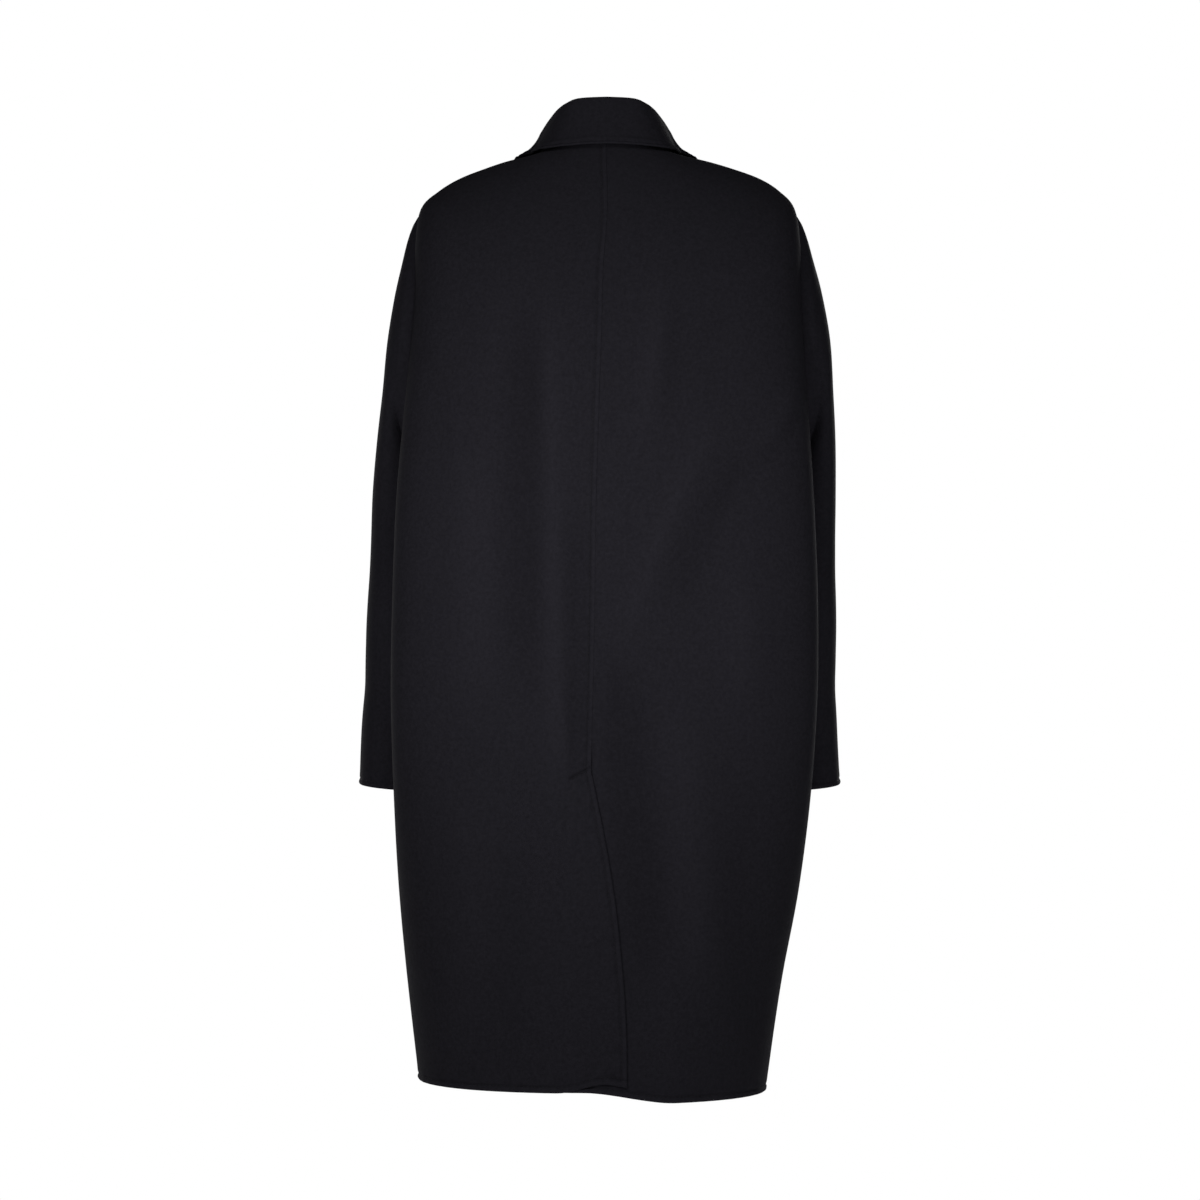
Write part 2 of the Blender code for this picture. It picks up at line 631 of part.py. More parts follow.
def cloth_object(name, grids, flips, material, parent, collection):
    """A sewn piece: its outer face as an open mesh, given the cloth's thickness inwards."""
    built = bmesh.new()
    for points, flip in zip(grids, flips):
        add_grid(built, points, flip)
    bmesh.ops.remove_doubles(built, verts=built.verts, dist=1e-6)
    mesh = bpy.data.meshes.new(name)
    built.to_mesh(mesh)
    built.free()
    mesh.shade_smooth()
    mesh.materials.append(material)
    piece = bpy.data.objects.new(name, mesh)
    piece.parent = parent
    collection.objects.link(piece)
    wall = piece.modifiers.new("wall", "SOLIDIFY")
    wall.thickness = CLOTH
    wall.offset = -1.0
    wall.use_even_offset = False
    return piece


def wool():
    """Black wool cloth: matt and slightly blue."""
    material = bpy.data.materials.new("black_wool")
    material.use_nodes = True
    shader = material.node_tree.nodes["Principled BSDF"]
    shader.inputs["Base Color"].default_value = WOOL_COLOUR
    shader.inputs["Roughness"].default_value = WOOL_ROUGHNESS
    shader.inputs["Metallic"].default_value = 0.0
    return material


def main():
    for old in list(bpy.data.objects):
        bpy.data.objects.remove(old)
    collection = bpy.data.collections.new("oversized_coat")
    bpy.context.scene.collection.children.link(collection)
    coat = bpy.data.objects.new("coat", None)
    collection.objects.link(coat)
    cloth = wool()
    for side, word in ((1, "left"), (-1, "right")):
        mirrored = side < 0
        backs = back_panel(side)
        cloth_object(f"back_{word}", backs, [mirrored] * len(backs), cloth, coat, collection)
        fronts = front_panel(side)
        cloth_object(f"front_{word}", fronts, [mirrored] * len(fronts), cloth, coat, collection)
        cloth_object(f"sleeve_{word}", [sleeve_grid(side)], [not mirrored], cloth, coat, collection)
    cloth_object("collar", [collar_grid()], [False], cloth, coat, collection)


main()
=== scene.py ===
"""Looks of an oversized black wool coat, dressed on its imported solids.

Metres, +Z up.  The coat faces -Y and the wearer's left is +X.  The tables are in millimetres.

The body is one surface of rings and stations.  Rings run from the neck seam (0) to the hem.
Stations run round one half of the coat: 0 centre back, 1 back corner, 2 flank, 3 centre front.
Below 0 or above 3 a station is on the other half, which is how panels lap.
"""

import logging
import math
from dataclasses import dataclass, field, fields
from enum import Enum
from typing import ClassVar, Sequence, Union

import bpy
import numpy as np
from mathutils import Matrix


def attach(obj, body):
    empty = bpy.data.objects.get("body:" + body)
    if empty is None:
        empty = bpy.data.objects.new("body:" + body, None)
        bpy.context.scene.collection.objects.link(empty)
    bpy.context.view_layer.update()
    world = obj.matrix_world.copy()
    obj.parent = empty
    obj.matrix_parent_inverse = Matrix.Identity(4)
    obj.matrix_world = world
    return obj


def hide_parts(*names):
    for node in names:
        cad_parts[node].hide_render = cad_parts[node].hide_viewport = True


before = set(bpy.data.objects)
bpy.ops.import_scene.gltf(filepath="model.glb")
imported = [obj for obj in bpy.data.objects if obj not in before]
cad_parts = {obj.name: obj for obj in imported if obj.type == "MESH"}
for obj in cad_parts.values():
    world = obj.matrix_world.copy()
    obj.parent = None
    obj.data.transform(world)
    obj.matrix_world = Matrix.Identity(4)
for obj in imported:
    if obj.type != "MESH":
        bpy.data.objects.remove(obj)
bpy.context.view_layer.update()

LOG = logging.getLogger("coat")

Array = np.ndarray
Number = Union[float, Array]
Colour = tuple[float, float, float]
MM = 0.001
CENTRE_FRONT = 3
LEAST_LENGTH = 1e-12
SAME_RING = 1e-6
SAME_PLACE = 1e-9
BODY = "root"


class Side(Enum):
    """A half of the coat, named from the wearer."""

    LEFT = 1
    RIGHT = -1

    @property
    def word(self) -> str:
        """The side's name as the CAD nodes spell it."""
        return self.name.lower()


class Face(Enum):
    """The back or the front of the coat, by the sign of Y."""

    BACK = 1
    FRONT = -1


class Held(Enum):
    HUNG = "hung"
    FOLDED = "folded"


@dataclass(frozen=True)
class Ring:
    """One ring of the body, in millimetres: centre back, back corner, flank and centre front."""

    back_y: float
    back_z: float
    corner_x: float
    corner_y: float
    side_z: float
    flank_x: float
    flank_y: float
    front_y: float
    front_z: float
    lean: float


@dataclass(frozen=True)
class SleeveSection:
    """One section of a sleeve, in millimetres: its outer and inner point, depth, and turn in degrees."""

    outer_x: float
    outer_z: float
    inner_x: float
    inner_z: float
    middle_y: float
    half_depth: float
    turn: float
    right_x: float


@dataclass(frozen=True)
class CollarStation:
    """One place round the collar, in millimetres: its roll line, how far the fall covers, its lift."""

    place: float
    roll_x: float
    roll_y: float
    roll_z: float
    cover: float
    edge_lift: float


@dataclass(frozen=True)
class Crease:
    """A soft ridge or trough along a line on the back or the front, in millimetres."""

    face: Face
    top_x: float
    top_z: float
    low_x: float
    low_z: float
    half_width: float
    height: float
    bow: float = 0.0
    fade: float = 0.25


@dataclass(frozen=True)
class SleeveCrease:
    """A soft ridge or trough on a sleeve: place, angle in degrees, reach, spread, height, slant."""

    section: float
    angle: float
    reach: float
    spread: float
    height: float
    slant: float = 0.6


RINGS = (
    Ring(66, 14, 76, 10, 0, 76, -10, -70, -58, -1),
    Ring(86, -14, 107, 10, -5, 107, -12, -92, -84, -2),
    Ring(102, -42, 137, 11, -14, 137, -14, -108, -108, -4),
    Ring(115, -70, 165, 14, -25, 164, -18, -121, -130, -5),
    Ring(126, -98, 186, 22, -39, 184, -28, -131, -152, -4.5),
    Ring(135, -127, 203.5, 34, -59, 200, -40, -139, -174, -3),
    Ring(144, -162, 209, 50, -97, 198, -56, -147, -202, -3),
    Ring(151, -206, 209, 63, -151, 189, -66, -153, -235, -3),
    Ring(157, -262, 213, 73, -217, 181, -65, -157, -278, -2),
    Ring(161, -328, 219, 81, -292, 172, -50, -160, -333, -1),
    Ring(164, -402, 225, 86, -377, 166, -34, -161, -402, 0),
    Ring(166, -492, 229, 87, -477, 164, -26, -162, -492, 0),
    Ring(166, -592, 230, 84, -582, 167, -24, -161, -592, 1),
    Ring(165, -692, 226, 70, -687, 178, -24, -159, -692, 3),
    Ring(162, -792, 218, 42, -792, 202, -20, -156, -792, 7),
    Ring(157, -892, 205, 22, -892, 201, -18, -151, -892, 12),
    Ring(150, -1010, 190, 12, -1010, 188, -14, -144, -1010, 14),
)
SLEEVE_SECTIONS = (
    SleeveSection(202, -55, 192, -300, -3, 66, 0, 3),
    SleeveSection(213, -84, 201, -306, -9, 72, 4, 4),
    SleeveSection(222, -128, 208, -314, -15, 74, 8, 7),
    SleeveSection(229, -180, 208, -325, -23, 77, 12, 9),
    SleeveSection(233, -240, 202, -342, -32, 80, 15, 7),
    SleeveSection(239, -300, 194, -366, -42, 81, 18, 3),
    SleeveSection(245, -364, 186, -402, -50, 81, 20, -2),
    SleeveSection(250, -432, 182, -452, -56, 79, 20, -5),
    SleeveSection(256, -502, 183, -512, -61, 76, 19, -8),
    SleeveSection(261, -572, 186, -577, -66, 73, 17, -11),
    SleeveSection(267, -634, 191, -638, -71, 70, 15, -13),
    SleeveSection(270, -690, 197, -698, -76, 67, 14, -12),
)
COLLAR_STATIONS = (
    CollarStation(0.00, 0, 62, 54, 6.5, 3.0),
    CollarStation(0.12, 27.5, 56.5, 53, 6.5, 3.0),
    CollarStation(0.22, 38.5, 48.5, 49.5, 6, 3.2),
    CollarStation(0.33, 47, 35, 44.5, 4.5, 4.0),
    CollarStation(0.50, 56, 13, 36.5, 4, 5.0),
    CollarStation(0.67, 61.5, 1, 30, 6.5, 5.0),
    CollarStation(0.85, 67, -10, 22, 9.5, 5.0),
    CollarStation(1.00, 69.5, -23, 12, 13, 4.5),
    CollarStation(1.12, 67.5, -37.5, -2, 20, 4.2),
    CollarStation(1.25, 61.5, -53, -19.5, 34, 4.0),
    CollarStation(1.50, 49.5, -75.5, -52, 44, 4.0),
    CollarStation(1.75, 42.5, -91.5, -78.5, 52, 4.0),
    CollarStation(2.00, 37.8, -102, -96, 58, 4.0),
)

# Largest folds, nearly upright, as in the solids
FOLDS = (
    Crease(Face.BACK, 58, -180, 52, -680, 16, 5.5),
    Crease(Face.BACK, 90, -200, 91, -560, 19, -6.5),
    Crease(Face.BACK, 140, -330, 143, -590, 28, 4.5),
    Crease(Face.BACK, 28, -400, 28, -670, 13, -4.5),
    Crease(Face.BACK, -60, -150, -42, -290, 16, 4.5),
    Crease(Face.BACK, -82, -190, -72, -280, 13, -3.0),
    Crease(Face.BACK, -147, -470, -148, -590, 24, 4.5),
    Crease(Face.BACK, -14, -560, -48, -870, 24, -7.0),
    Crease(Face.BACK, -82, -620, -104, -900, 26, 5.0),
    Crease(Face.FRONT, 146, -330, 138, -860, 26, 4.5),
    Crease(Face.FRONT, 104, -420, 102, -930, 30, -4.5),
    Crease(Face.FRONT, -142, -340, -134, -880, 28, 4.5),
    Crease(Face.FRONT, -104, -430, -100, -950, 30, -4.5),
)
FOLD_FADE = 120 * MM
FOLD_FACING = (20 * MM, 90 * MM)
CREASE_FACING = (0.0, 50 * MM)

# Finer creases, given one by one
CREASES = (
    Crease(Face.BACK, -205, -262, -150, -330, 9, 2.0, 6),
    Crease(Face.BACK, -208, -290, -165, -345, 7, -1.6, 4),
    Crease(Face.BACK, -110, -312, -26, -520, 15, 4.0, -8),
    Crease(Face.BACK, -158, -326, -78, -486, 20, -5.0, -6),
    Crease(Face.BACK, 200, -210, 168, -330, 9, -1.5, 5),
    Crease(Face.BACK, 190, -240, 150, -380, 11, 1.2, 6),
    Crease(Face.BACK, 16, -974, -14, -997, 4, -1.8, 1),
    Crease(Face.BACK, 24, -966, 0, -990, 5, 1.0, 2),
    Crease(Face.BACK, 46, -590, 40, -668, 6, 1.6, 2),
    Crease(Face.BACK, 150, -700, 162, -960, 26, 2.4, 8),
    Crease(Face.BACK, 98, -770, 100, -985, 22, -2.0, -6),
    Crease(Face.BACK, -150, -700, -158, -950, 24, -2.6, -8),
    Crease(Face.BACK, -62, -860, -70, -990, 16, 1.6, 4),
    Crease(Face.BACK, 120, -150, 128, -260, 22, 1.4, 6),
    Crease(Face.BACK, -120, -170, -112, -280, 22, -1.4, -6),
    Crease(Face.FRONT, 170, -250, 118, -340, 10, 1.8, 6),
    Crease(Face.FRONT, 166, -280, 122, -372, 8, -1.5, 5),
    Crease(Face.FRONT, -168, -258, -120, -330, 10, 1.7, -6),
    Crease(Face.FRONT, -160, -300, -112, -384, 9, -1.4, -5),
    Crease(Face.FRONT, 58, -420, 80, -560, 12, -1.6, 6),
    Crease(Face.FRONT, 66, -640, 60, -860, 18, 1.8, -6),
    Crease(Face.FRONT, -70, -480, -84, -640, 14, 1.6, 6),
    Crease(Face.FRONT, -62, -700, -68, -940, 18, -1.8, 6),
    Crease(Face.FRONT, 20, -880, 26, -990, 16, 1.4, 3),
)
SLEEVE_CREASES = (
    SleeveCrease(4.6, 235, 0.9, 60, -3.0),
    SleeveCrease(6.6, 120, 0.6, 55, -4.0),
    SleeveCrease(7.6, 250, 0.6, 60, -4.5),
    SleeveCrease(8.6, 140, 0.6, 55, 3.0),
)
FINE_SLEEVE_CREASES = (
    SleeveCrease(3.6, 250, 0.30, 45, -1.6, 1.2),
    SleeveCrease(4.1, 215, 0.28, 40, 1.4, 0.9),
    SleeveCrease(5.5, 285, 0.26, 42, 1.5, -0.8),
    SleeveCrease(6.1, 300, 0.24, 40, -1.8, -1.0),
    SleeveCrease(6.9, 270, 0.25, 48, 2.0, -0.6),
    SleeveCrease(7.2, 85, 0.30, 40, -1.4, 0.7),
    SleeveCrease(7.9, 100, 0.28, 44, 1.5, 0.9),
    SleeveCrease(8.4, 290, 0.26, 40, -1.5, 0.8),
    SleeveCrease(9.3, 60, 0.34, 46, -1.3, -0.9),
    SleeveCrease(9.9, 240, 0.32, 50, 1.4, 0.7),
    SleeveCrease(2.4, 330, 0.40, 40, -1.2, 0.5),
    SleeveCrease(2.0, 40, 0.42, 42, 1.0, -0.5),
)


def columns_of(rows: Sequence[object]) -> dict[str, Array]:
    """Turns a table into arrays.

    Args:
        rows: Frozen dataclasses of one kind.

    Returns:
        Each column of the table by its name.
    """
    names = [entry.name for entry in fields(rows[0])]
    return {name: np.array([getattr(row, name) for row in rows], float) for name in names}


def read_smoothly(column: Array, position: Array) -> Array:
    """Reads a table column smoothly (Catmull-Rom).

    Args:
        column: The column's values.
        position: Fractional row numbers.

    Returns:
        The values at those rows.
    """
    last = len(column) - 1
    row = np.clip(np.floor(position).astype(int), 0, last - 1)
    part = position - row
    here, after = column[row], column[row + 1]
    slope_here = (after - column[np.maximum(row - 1, 0)]) / 2
    slope_after = (column[np.minimum(row + 2, last)] - here) / 2
    rise = after - here
    bend = 3 * rise - 2 * slope_here - slope_after
    twist = slope_here + slope_after - 2 * rise
    return here + part * (slope_here + part * (bend + part * twist))


def ease(value: Number, low: Number = 0.0, high: Number = 1.0) -> Array:
    """Eases from 0 to 1.

    Args:
        value: Where to read.
        low: Where it is 0.
        high: Where it is 1.

    Returns:
        0 to 1, smooth between low and high.
    """
    part = np.clip((value - low) / (high - low), 0.0, 1.0)
    return part * part * (3 - 2 * part)


def cubic(start: Number, start_handle: Number, end_handle: Number, end: Number, part: Number) -> Array:
    """Reads a cubic curve.

    Args:
        start: First end.
        start_handle: The first end's handle.
        end_handle: The other end's handle.
        end: Other end.
        part: 0 at the first end, 1 at the other.

    Returns:
        The values at those parts.
    """
    rest = 1 - part
    near = rest**3 * start + 3 * rest**2 * part * start_handle
    return near + 3 * rest * part**2 * end_handle + part**3 * end


def length_of(vectors: Array) -> Array:
    """Lengths of vectors."""
    return np.sqrt((vectors**2).sum(-1))


def unit(vectors: Array) -> Array:
    """Vectors of length 1 the same way."""
    return vectors / np.maximum(length_of(vectors), LEAST_LENGTH)[..., None]


def travelled(points: Array, axis: int) -> Array:
    """Distance along a grid's rows or columns.

    Args:
        points: A grid of points.
        axis: 1 along the rows, 0 down the columns.

    Returns:
        Metres from the grid's first column or row.
    """
    steps = length_of(np.diff(points, axis=axis))
    start = np.zeros_like(np.take(steps, [0], axis=axis))
    return np.concatenate([start, np.cumsum(steps, axis=axis)], axis=axis)


def grid_normals(points: Array) -> Array:
    """Normals of a grid of points.

    Args:
        points: A grid of points.

    Returns:
        Unit vectors across the rows and the columns.
    """
    return unit(np.cross(np.gradient(points, axis=1), np.gradient(points, axis=0)))


@dataclass(frozen=True)
class Cloth:
    """The double-faced wool's sizes."""

    thickness: float = 2.4 * MM
    turned_extra: float = 1.0 * MM
    seam_tuck: float = 1.2 * MM
    lap_clearance: float = 0.2 * MM
    step: float = 5.0 * MM

    @property
    def round(self) -> float:
        """How far the rounded edge reaches past the last row of points."""
        return self.thickness / 2

    @property
    def layer(self) -> float:
        """How far a layer lies under the one that laps it."""
        return self.thickness + self.lap_clearance


@dataclass(frozen=True)
class SewnEdge:
    """A turned edge: a puffed band between the edge and the groove of its stitches."""

    set_in: float = 6.5 * MM
    puff: float = 0.8 * MM
    groove: float = 0.75 * MM
    groove_half: float = 1.7 * MM
    pucker: float = 0.22 * MM
    pucker_reach: float = 8.0 * MM
    pucker_pitch: float = 17.0 * MM
    pucker_waves: tuple[tuple[float, float, float], ...] = (
        (1.0, 1.0, 0.0),
        (0.6, 0.59, 1.0),
        (0.4, 1.73, 2.0),
    )
    band_power: float = 0.8
    turned_until: tuple[float, float] = (0.8, 1.2)

    def relief(self, distance: Array, along: Array) -> Array:
        """Lift of the cloth near the edge.

        Args:
            distance: Metres from the edge.
            along: Metres along the edge.

        Returns:
            Metres outwards.
        """
        band = np.sin(math.pi * np.clip(distance / self.set_in, 0, 1)) ** self.band_power
        groove = np.exp(-(((distance - self.set_in) / self.groove_half) ** 2))
        turns = 2 * math.pi * along / self.pucker_pitch
        wave = sum(height * np.sin(rate * turns + start) for height, rate, start in self.pucker_waves)
        near = np.exp(-(((distance - self.set_in) / self.pucker_reach) ** 2))
        return self.puff * band - self.groove * groove + self.pucker * wave * near

    def turned(self, distance: Array) -> Array:
        """Share of the extra thickness of the turned cloth, 1 at the edge."""
        first, last = self.turned_until
        return 1 - ease(distance, first * self.set_in, last * self.set_in)


@dataclass(frozen=True)
class PlainSeam:
    """A pressed seam with no stitches showing: the cloth dips to it."""

    dip: float = 0.25 * MM
    reach: float = 3.5 * MM

    def relief(self, distance: Array) -> Array:
        """Lift of the cloth, negative near the seam."""
        return -self.dip * np.exp(-((distance / self.reach) ** 2))


CLOTH = Cloth()
EDGE = SewnEdge()
SEAM = PlainSeam()
EDGE_STEPS = np.array([1.2, 1.8, 2.6, 3.5, 4.4, 5.2, 5.9, 6.5, 7.1, 7.8, 8.8, 10.2, 12.0]) * MM
SEAM_STEPS = np.array([1.2, 1.8, 2.8, 4.2, 6.0]) * MM
STITCH_STEP = int(np.argmin(abs(EDGE_STEPS - EDGE.set_in)))


@dataclass
class BodyForm:
    """The coat's body as one surface of rings and stations."""

    columns: dict[str, Array] = field(default_factory=lambda: columns_of(RINGS))
    hem: float = len(RINGS) - 1.0
    back_fullness: float = 0.60
    side_fullness: float = 0.46
    front_fullness: float = 0.58
    right_drop: float = 12 * MM
    drop_across: tuple[float, float] = (-10 * MM, 90 * MM)
    drop_rings: float = 5.0
    difference: float = 1e-3
    shoulder: float = 1.5
    armhole_top: float = 5.0
    armhole_bottom: float = 9.3
    armhole_half_station: float = 0.5
    armhole_rows: int = 46
    # Fold height and sewn relief at which the painted light and shade in the colour is full.
    full_painted_shading: float = 6.0 * MM
    full_sewn_painted_shading: float = 1.5 * MM
    length_samples: int = 4000
    length_station: float = 0.6
    width_samples: int = 40
    sewn_share: float = 0.6

    @property
    def armhole_middle(self) -> float:
        """Ring at the middle of the armhole."""
        return (self.armhole_top + self.armhole_bottom) / 2

    @property
    def armhole_half_rings(self) -> float:
        """Half the armhole's height in rings."""
        return (self.armhole_bottom - self.armhole_top) / 2

    def smooth(self, side: Side, ring: Number, station: Number) -> Array:
        """The body's outer face without folds.

        Args:
            side: The half that the stations count round.
            ring: Ring positions.
            station: Stations.

        Returns:
            Points.
        """
        ring, station = np.broadcast_arrays(np.asarray(ring, float), np.asarray(station, float))
        half = np.where((station < 0) | (station > CENTRE_FRONT), -side.value, side.value)
        mirrored = np.where(station > CENTRE_FRONT, 2 * CENTRE_FRONT - station, station)
        station = np.where(station < 0, -station, mirrored)
        read = {name: read_smoothly(values, ring) * MM for name, values in self.columns.items()}
        back_y, corner_x, corner_y = read["back_y"], read["corner_x"], read["corner_y"]
        flank_x, flank_y, front_y = read["flank_x"], read["flank_y"], read["front_y"]

        part = np.clip(station, 0, 1)
        depth = self.back_fullness * (back_y - corner_y)
        x = cubic(0.0, self.back_fullness * corner_x, corner_x, corner_x, part)
        y = cubic(back_y, back_y, corner_y + depth, corner_y, part)
        z = read["back_z"] + (read["side_z"] - read["back_z"]) * ease(part)

        part = np.clip(station - 1, 0, 1)
        depth = self.side_fullness * (corner_y - flank_y)
        x = np.where(station > 1, cubic(corner_x, corner_x, flank_x, flank_x, part), x)
        y = np.where(station > 1, cubic(corner_y, corner_y - depth, flank_y + depth, flank_y, part), y)

        part = np.clip(station - 2, 0, 1)
        depth = self.front_fullness * (flank_y - front_y)
        x = np.where(station > 2, cubic(flank_x, flank_x, self.front_fullness * flank_x, 0.0, part), x)
        y = np.where(station > 2, cubic(flank_y, flank_y - depth, front_y, front_y, part), y)
        front_z = read["side_z"] + (read["front_z"] - read["side_z"]) * ease(part)
        z = np.where(station > 2, front_z, z)

        x = half * x
        low = ease(ring, self.hem - self.drop_rings, self.hem)
        z = z - self.right_drop * ease(-x, *self.drop_across) * low
        return np.stack([x + read["lean"], y, z], axis=-1)

    def across(self, side: Side, ring: Number, station: Number) -> Array:
        """Change of the smooth body for one station."""
        ahead = self.smooth(side, ring, station + self.difference)
        return (ahead - self.smooth(side, ring, station - self.difference)) / (2 * self.difference)

    def down(self, side: Side, ring: Array, station: Number) -> Array:
        """Change of the smooth body for one ring.

        Args:
            side: The coat's side.
            ring: Ring positions.
            station: Station positions.

        Returns:
            Metres for one ring, as vectors.
        """
        low = np.clip(ring - self.difference, 0, self.hem)
        high = np.clip(ring + self.difference, 0, self.hem)
        change = self.smooth(side, high, station) - self.smooth(side, low, station)
        return change / (high - low)[..., None]

    def outward(self, side: Side, ring: Array, station: Array) -> Array:
        """Unit normals of the smooth body, away from the wearer."""
        normals = np.cross(self.across(side, ring, station), self.down(side, ring, station))
        return unit(side.value * normals)

    @staticmethod
    def fold_lift(points: Array) -> Array:
        """Lift of the large folds.

        Args:
            points: Points of the smooth body.

        Returns:
            Metres outwards.
        """
        total = np.zeros(points.shape[:-1])
        x, y, z = np.moveaxis(points, -1, 0)
        for fold in FOLDS:
            top_z, low_z = fold.top_z * MM, fold.low_z * MM
            part = np.clip((z - top_z) / (low_z - top_z), 0, 1)
            line_x = (fold.top_x + (fold.low_x - fold.top_x) * part) * MM
            apart = (x - line_x) / (fold.half_width * MM)
            window = ease(z, low_z - FOLD_FADE / 2, low_z + FOLD_FADE / 2)
            window = window * (1 - ease(z, top_z - FOLD_FADE / 2, top_z + FOLD_FADE / 2))
            facing = ease(fold.face.value * y, *FOLD_FACING)
            total += fold.height * MM * np.exp(-(apart**2)) * window * facing
        return total

    @staticmethod
    def crease_lift(points: Array) -> Array:
        """Lift of the finer creases.

        Args:
            points: Points of the smooth body.

        Returns:
            Metres outwards.
        """
        total = np.zeros(points.shape[:-1])
        x, y, z = np.moveaxis(points, -1, 0)
        for crease in CREASES:
            run_x, run_z = (crease.low_x - crease.top_x) * MM, (crease.low_z - crease.top_z) * MM
            long = math.hypot(run_x, run_z)
            from_x, from_z = x - crease.top_x * MM, z - crease.top_z * MM
            part = (from_x * run_x + from_z * run_z) / long**2
            apart = (from_x * run_z - from_z * run_x) / long
            apart = apart - crease.bow * MM * 4 * np.clip(part, 0, 1) * (1 - np.clip(part, 0, 1))
            window = ease(part, -crease.fade, crease.fade)
            window = window * (1 - ease(part, 1 - crease.fade, 1 + crease.fade))
            facing = ease(crease.face.value * y, *CREASE_FACING)
            profile = np.exp(-((apart / (crease.half_width * MM)) ** 2))
            total += crease.height * MM * profile * window * facing
        return total

    def crest(self, points: Array, sewn: Number = 0.0) -> Array:
        """Painted light and shade for the colour: lighter on raised folds, creases and puffed bands,
        darker in hollows and seam grooves, in place of the light and shade that falls on them.

        Args:
            points: Points of the smooth body.
            sewn: Metres outwards of the sewn relief.

        Returns:
            -2 to 2.
        """
        height = self.fold_lift(points) + self.crease_lift(points)
        return np.clip(height / self.full_painted_shading, -1, 1) + np.clip(sewn / self.full_sewn_painted_shading, -1, 1)

    def surface(self, side: Side, ring: Array, station: Array, lift: Number = 0.0) -> Array:
        """The body's outer face with its folds and creases.

        Args:
            side: The half that the stations count round.
            ring: Ring positions.
            station: Stations.
            lift: Metres outwards besides.

        Returns:
            Points.
        """
        ring, station = np.broadcast_arrays(np.asarray(ring, float), np.asarray(station, float))
        points = self.smooth(side, ring, station)
        height = self.fold_lift(points) + self.crease_lift(points) + lift
        return points + self.outward(side, ring, station) * height[..., None]

    def seam_station(self, side: Side, ring: Array, toward: int) -> Array:
        """A panel's edge at the shoulder seam, the armhole and the side seam.

        Args:
            side: The half of the coat.
            ring: Ring positions.
            toward: -1 for the back, 1 for the front.

        Returns:
            Stations.
        """
        part = np.clip((ring - self.armhole_middle) / self.armhole_half_rings, -1, 1)
        edge = self.shoulder + toward * self.armhole_half_station * np.sqrt(1 - part**2)
        return edge - toward * CLOTH.seam_tuck / length_of(self.across(side, ring, edge))

    def lengths(self) -> tuple[Array, Array]:
        """Ring positions and the metres down the back at them."""
        rings = np.linspace(0, self.hem, self.length_samples)
        return rings, travelled(self.smooth(Side.LEFT, rings, self.length_station), 0)

    def rows(
        self, exact: Sequence[float] = (), fine: Sequence[tuple[float, float, float]] = ()
    ) -> Array:
        """Ring positions of a panel's rows, closer together at the armhole's ends and the hem.

        Args:
            exact: Rings that have to be among them.
            fine: Stretches with closer rows, as first ring, last ring and metres apart.

        Returns:
            Ring positions from the neck seam to the hem.
        """
        rings, metres = self.lengths()

        def spread(first: float, last: float, step: float) -> Array:
            """Even rows between two rings.

            Args:
                first: The first ring.
                last: The last ring.
                step: Metres from row to row.

            Returns:
                Ring positions.
            """
            ends = np.interp([first, last], rings, metres)
            count = max(2, round((ends[1] - ends[0]) / step))
            return np.interp(np.linspace(*ends, count), metres, rings)

        neck = np.interp(SEAM_STEPS, metres, rings)
        hem = np.interp(metres[-1] - EDGE_STEPS[::-1], metres, rings)
        turn = np.linspace(0, math.pi, self.armhole_rows)
        armhole = self.armhole_middle - self.armhole_half_rings * np.cos(turn)
        above = spread(neck[-1], self.armhole_top, CLOTH.step)
        below = spread(self.armhole_bottom, hem[0], CLOTH.step)
        found = np.concatenate([neck, above[1:], armhole[1:], below[1:], hem[1:]])
        for first, last, step in fine:
            found = np.concatenate([found[(found < first) | (found > last)], spread(first, last, step)])
        found = np.sort(found)
        for ring in exact:
            found[np.argmin(abs(found - ring))] = ring
        return found

    def columns_between(
        self, side: Side, rings: Array, first: Array, last: Array, first_steps: Array, last_steps: Array
    ) -> Array:
        """Stations of a panel's columns: fixed distances in from both edges, even between.

        Args:
            side: The half of the coat.
            rings: The panel's rows.
            first: Stations of the first edge.
            last: Stations of the other edge.
            first_steps: Metres in from the first edge.
            last_steps: Metres in from the other edge.

        Returns:
            Stations by row and column.
        """
        toward = np.sign(last - first)[:, None]
        parts = np.linspace(0, 1, self.width_samples)
        sample = first[:, None] + (last - first)[:, None] * parts
        width = travelled(self.smooth(side, rings[:, None], sample), 1)[:, -1]
        shrink = np.minimum(1, self.sewn_share * width / (first_steps[-1] + last_steps[-1]))
        first_rate = shrink / length_of(self.across(side, rings, first))
        last_rate = shrink / length_of(self.across(side, rings, last))
        head = first[:, None] + toward * np.outer(first_rate, first_steps)
        tail = last[:, None] - toward * np.outer(last_rate, last_steps)[:, ::-1]
        count = round(width.max() / CLOTH.step)
        middle = head[:, -1:] + (tail[:, :1] - head[:, -1:]) * np.linspace(0, 1, count + 1)[1:-1]
        return np.concatenate([head, middle, tail], axis=1)


@dataclass
class ClothGrid:
    """A grid of points of the cloth's outer face."""

    points: Array
    flip: bool
    thickness: Array
    # Painted light and shade at each point: lighter on ridges, darker in hollows and grooves.
    crest: Array

    @property
    def flat(self) -> Array:
        """Metres across and down the cloth, for its weave."""
        return np.stack([travelled(self.points, 1), travelled(self.points, 0)], axis=-1)


@dataclass
class StitchRun:
    """A row of stitches along a line on the cloth."""

    path: Array
    normals: Array


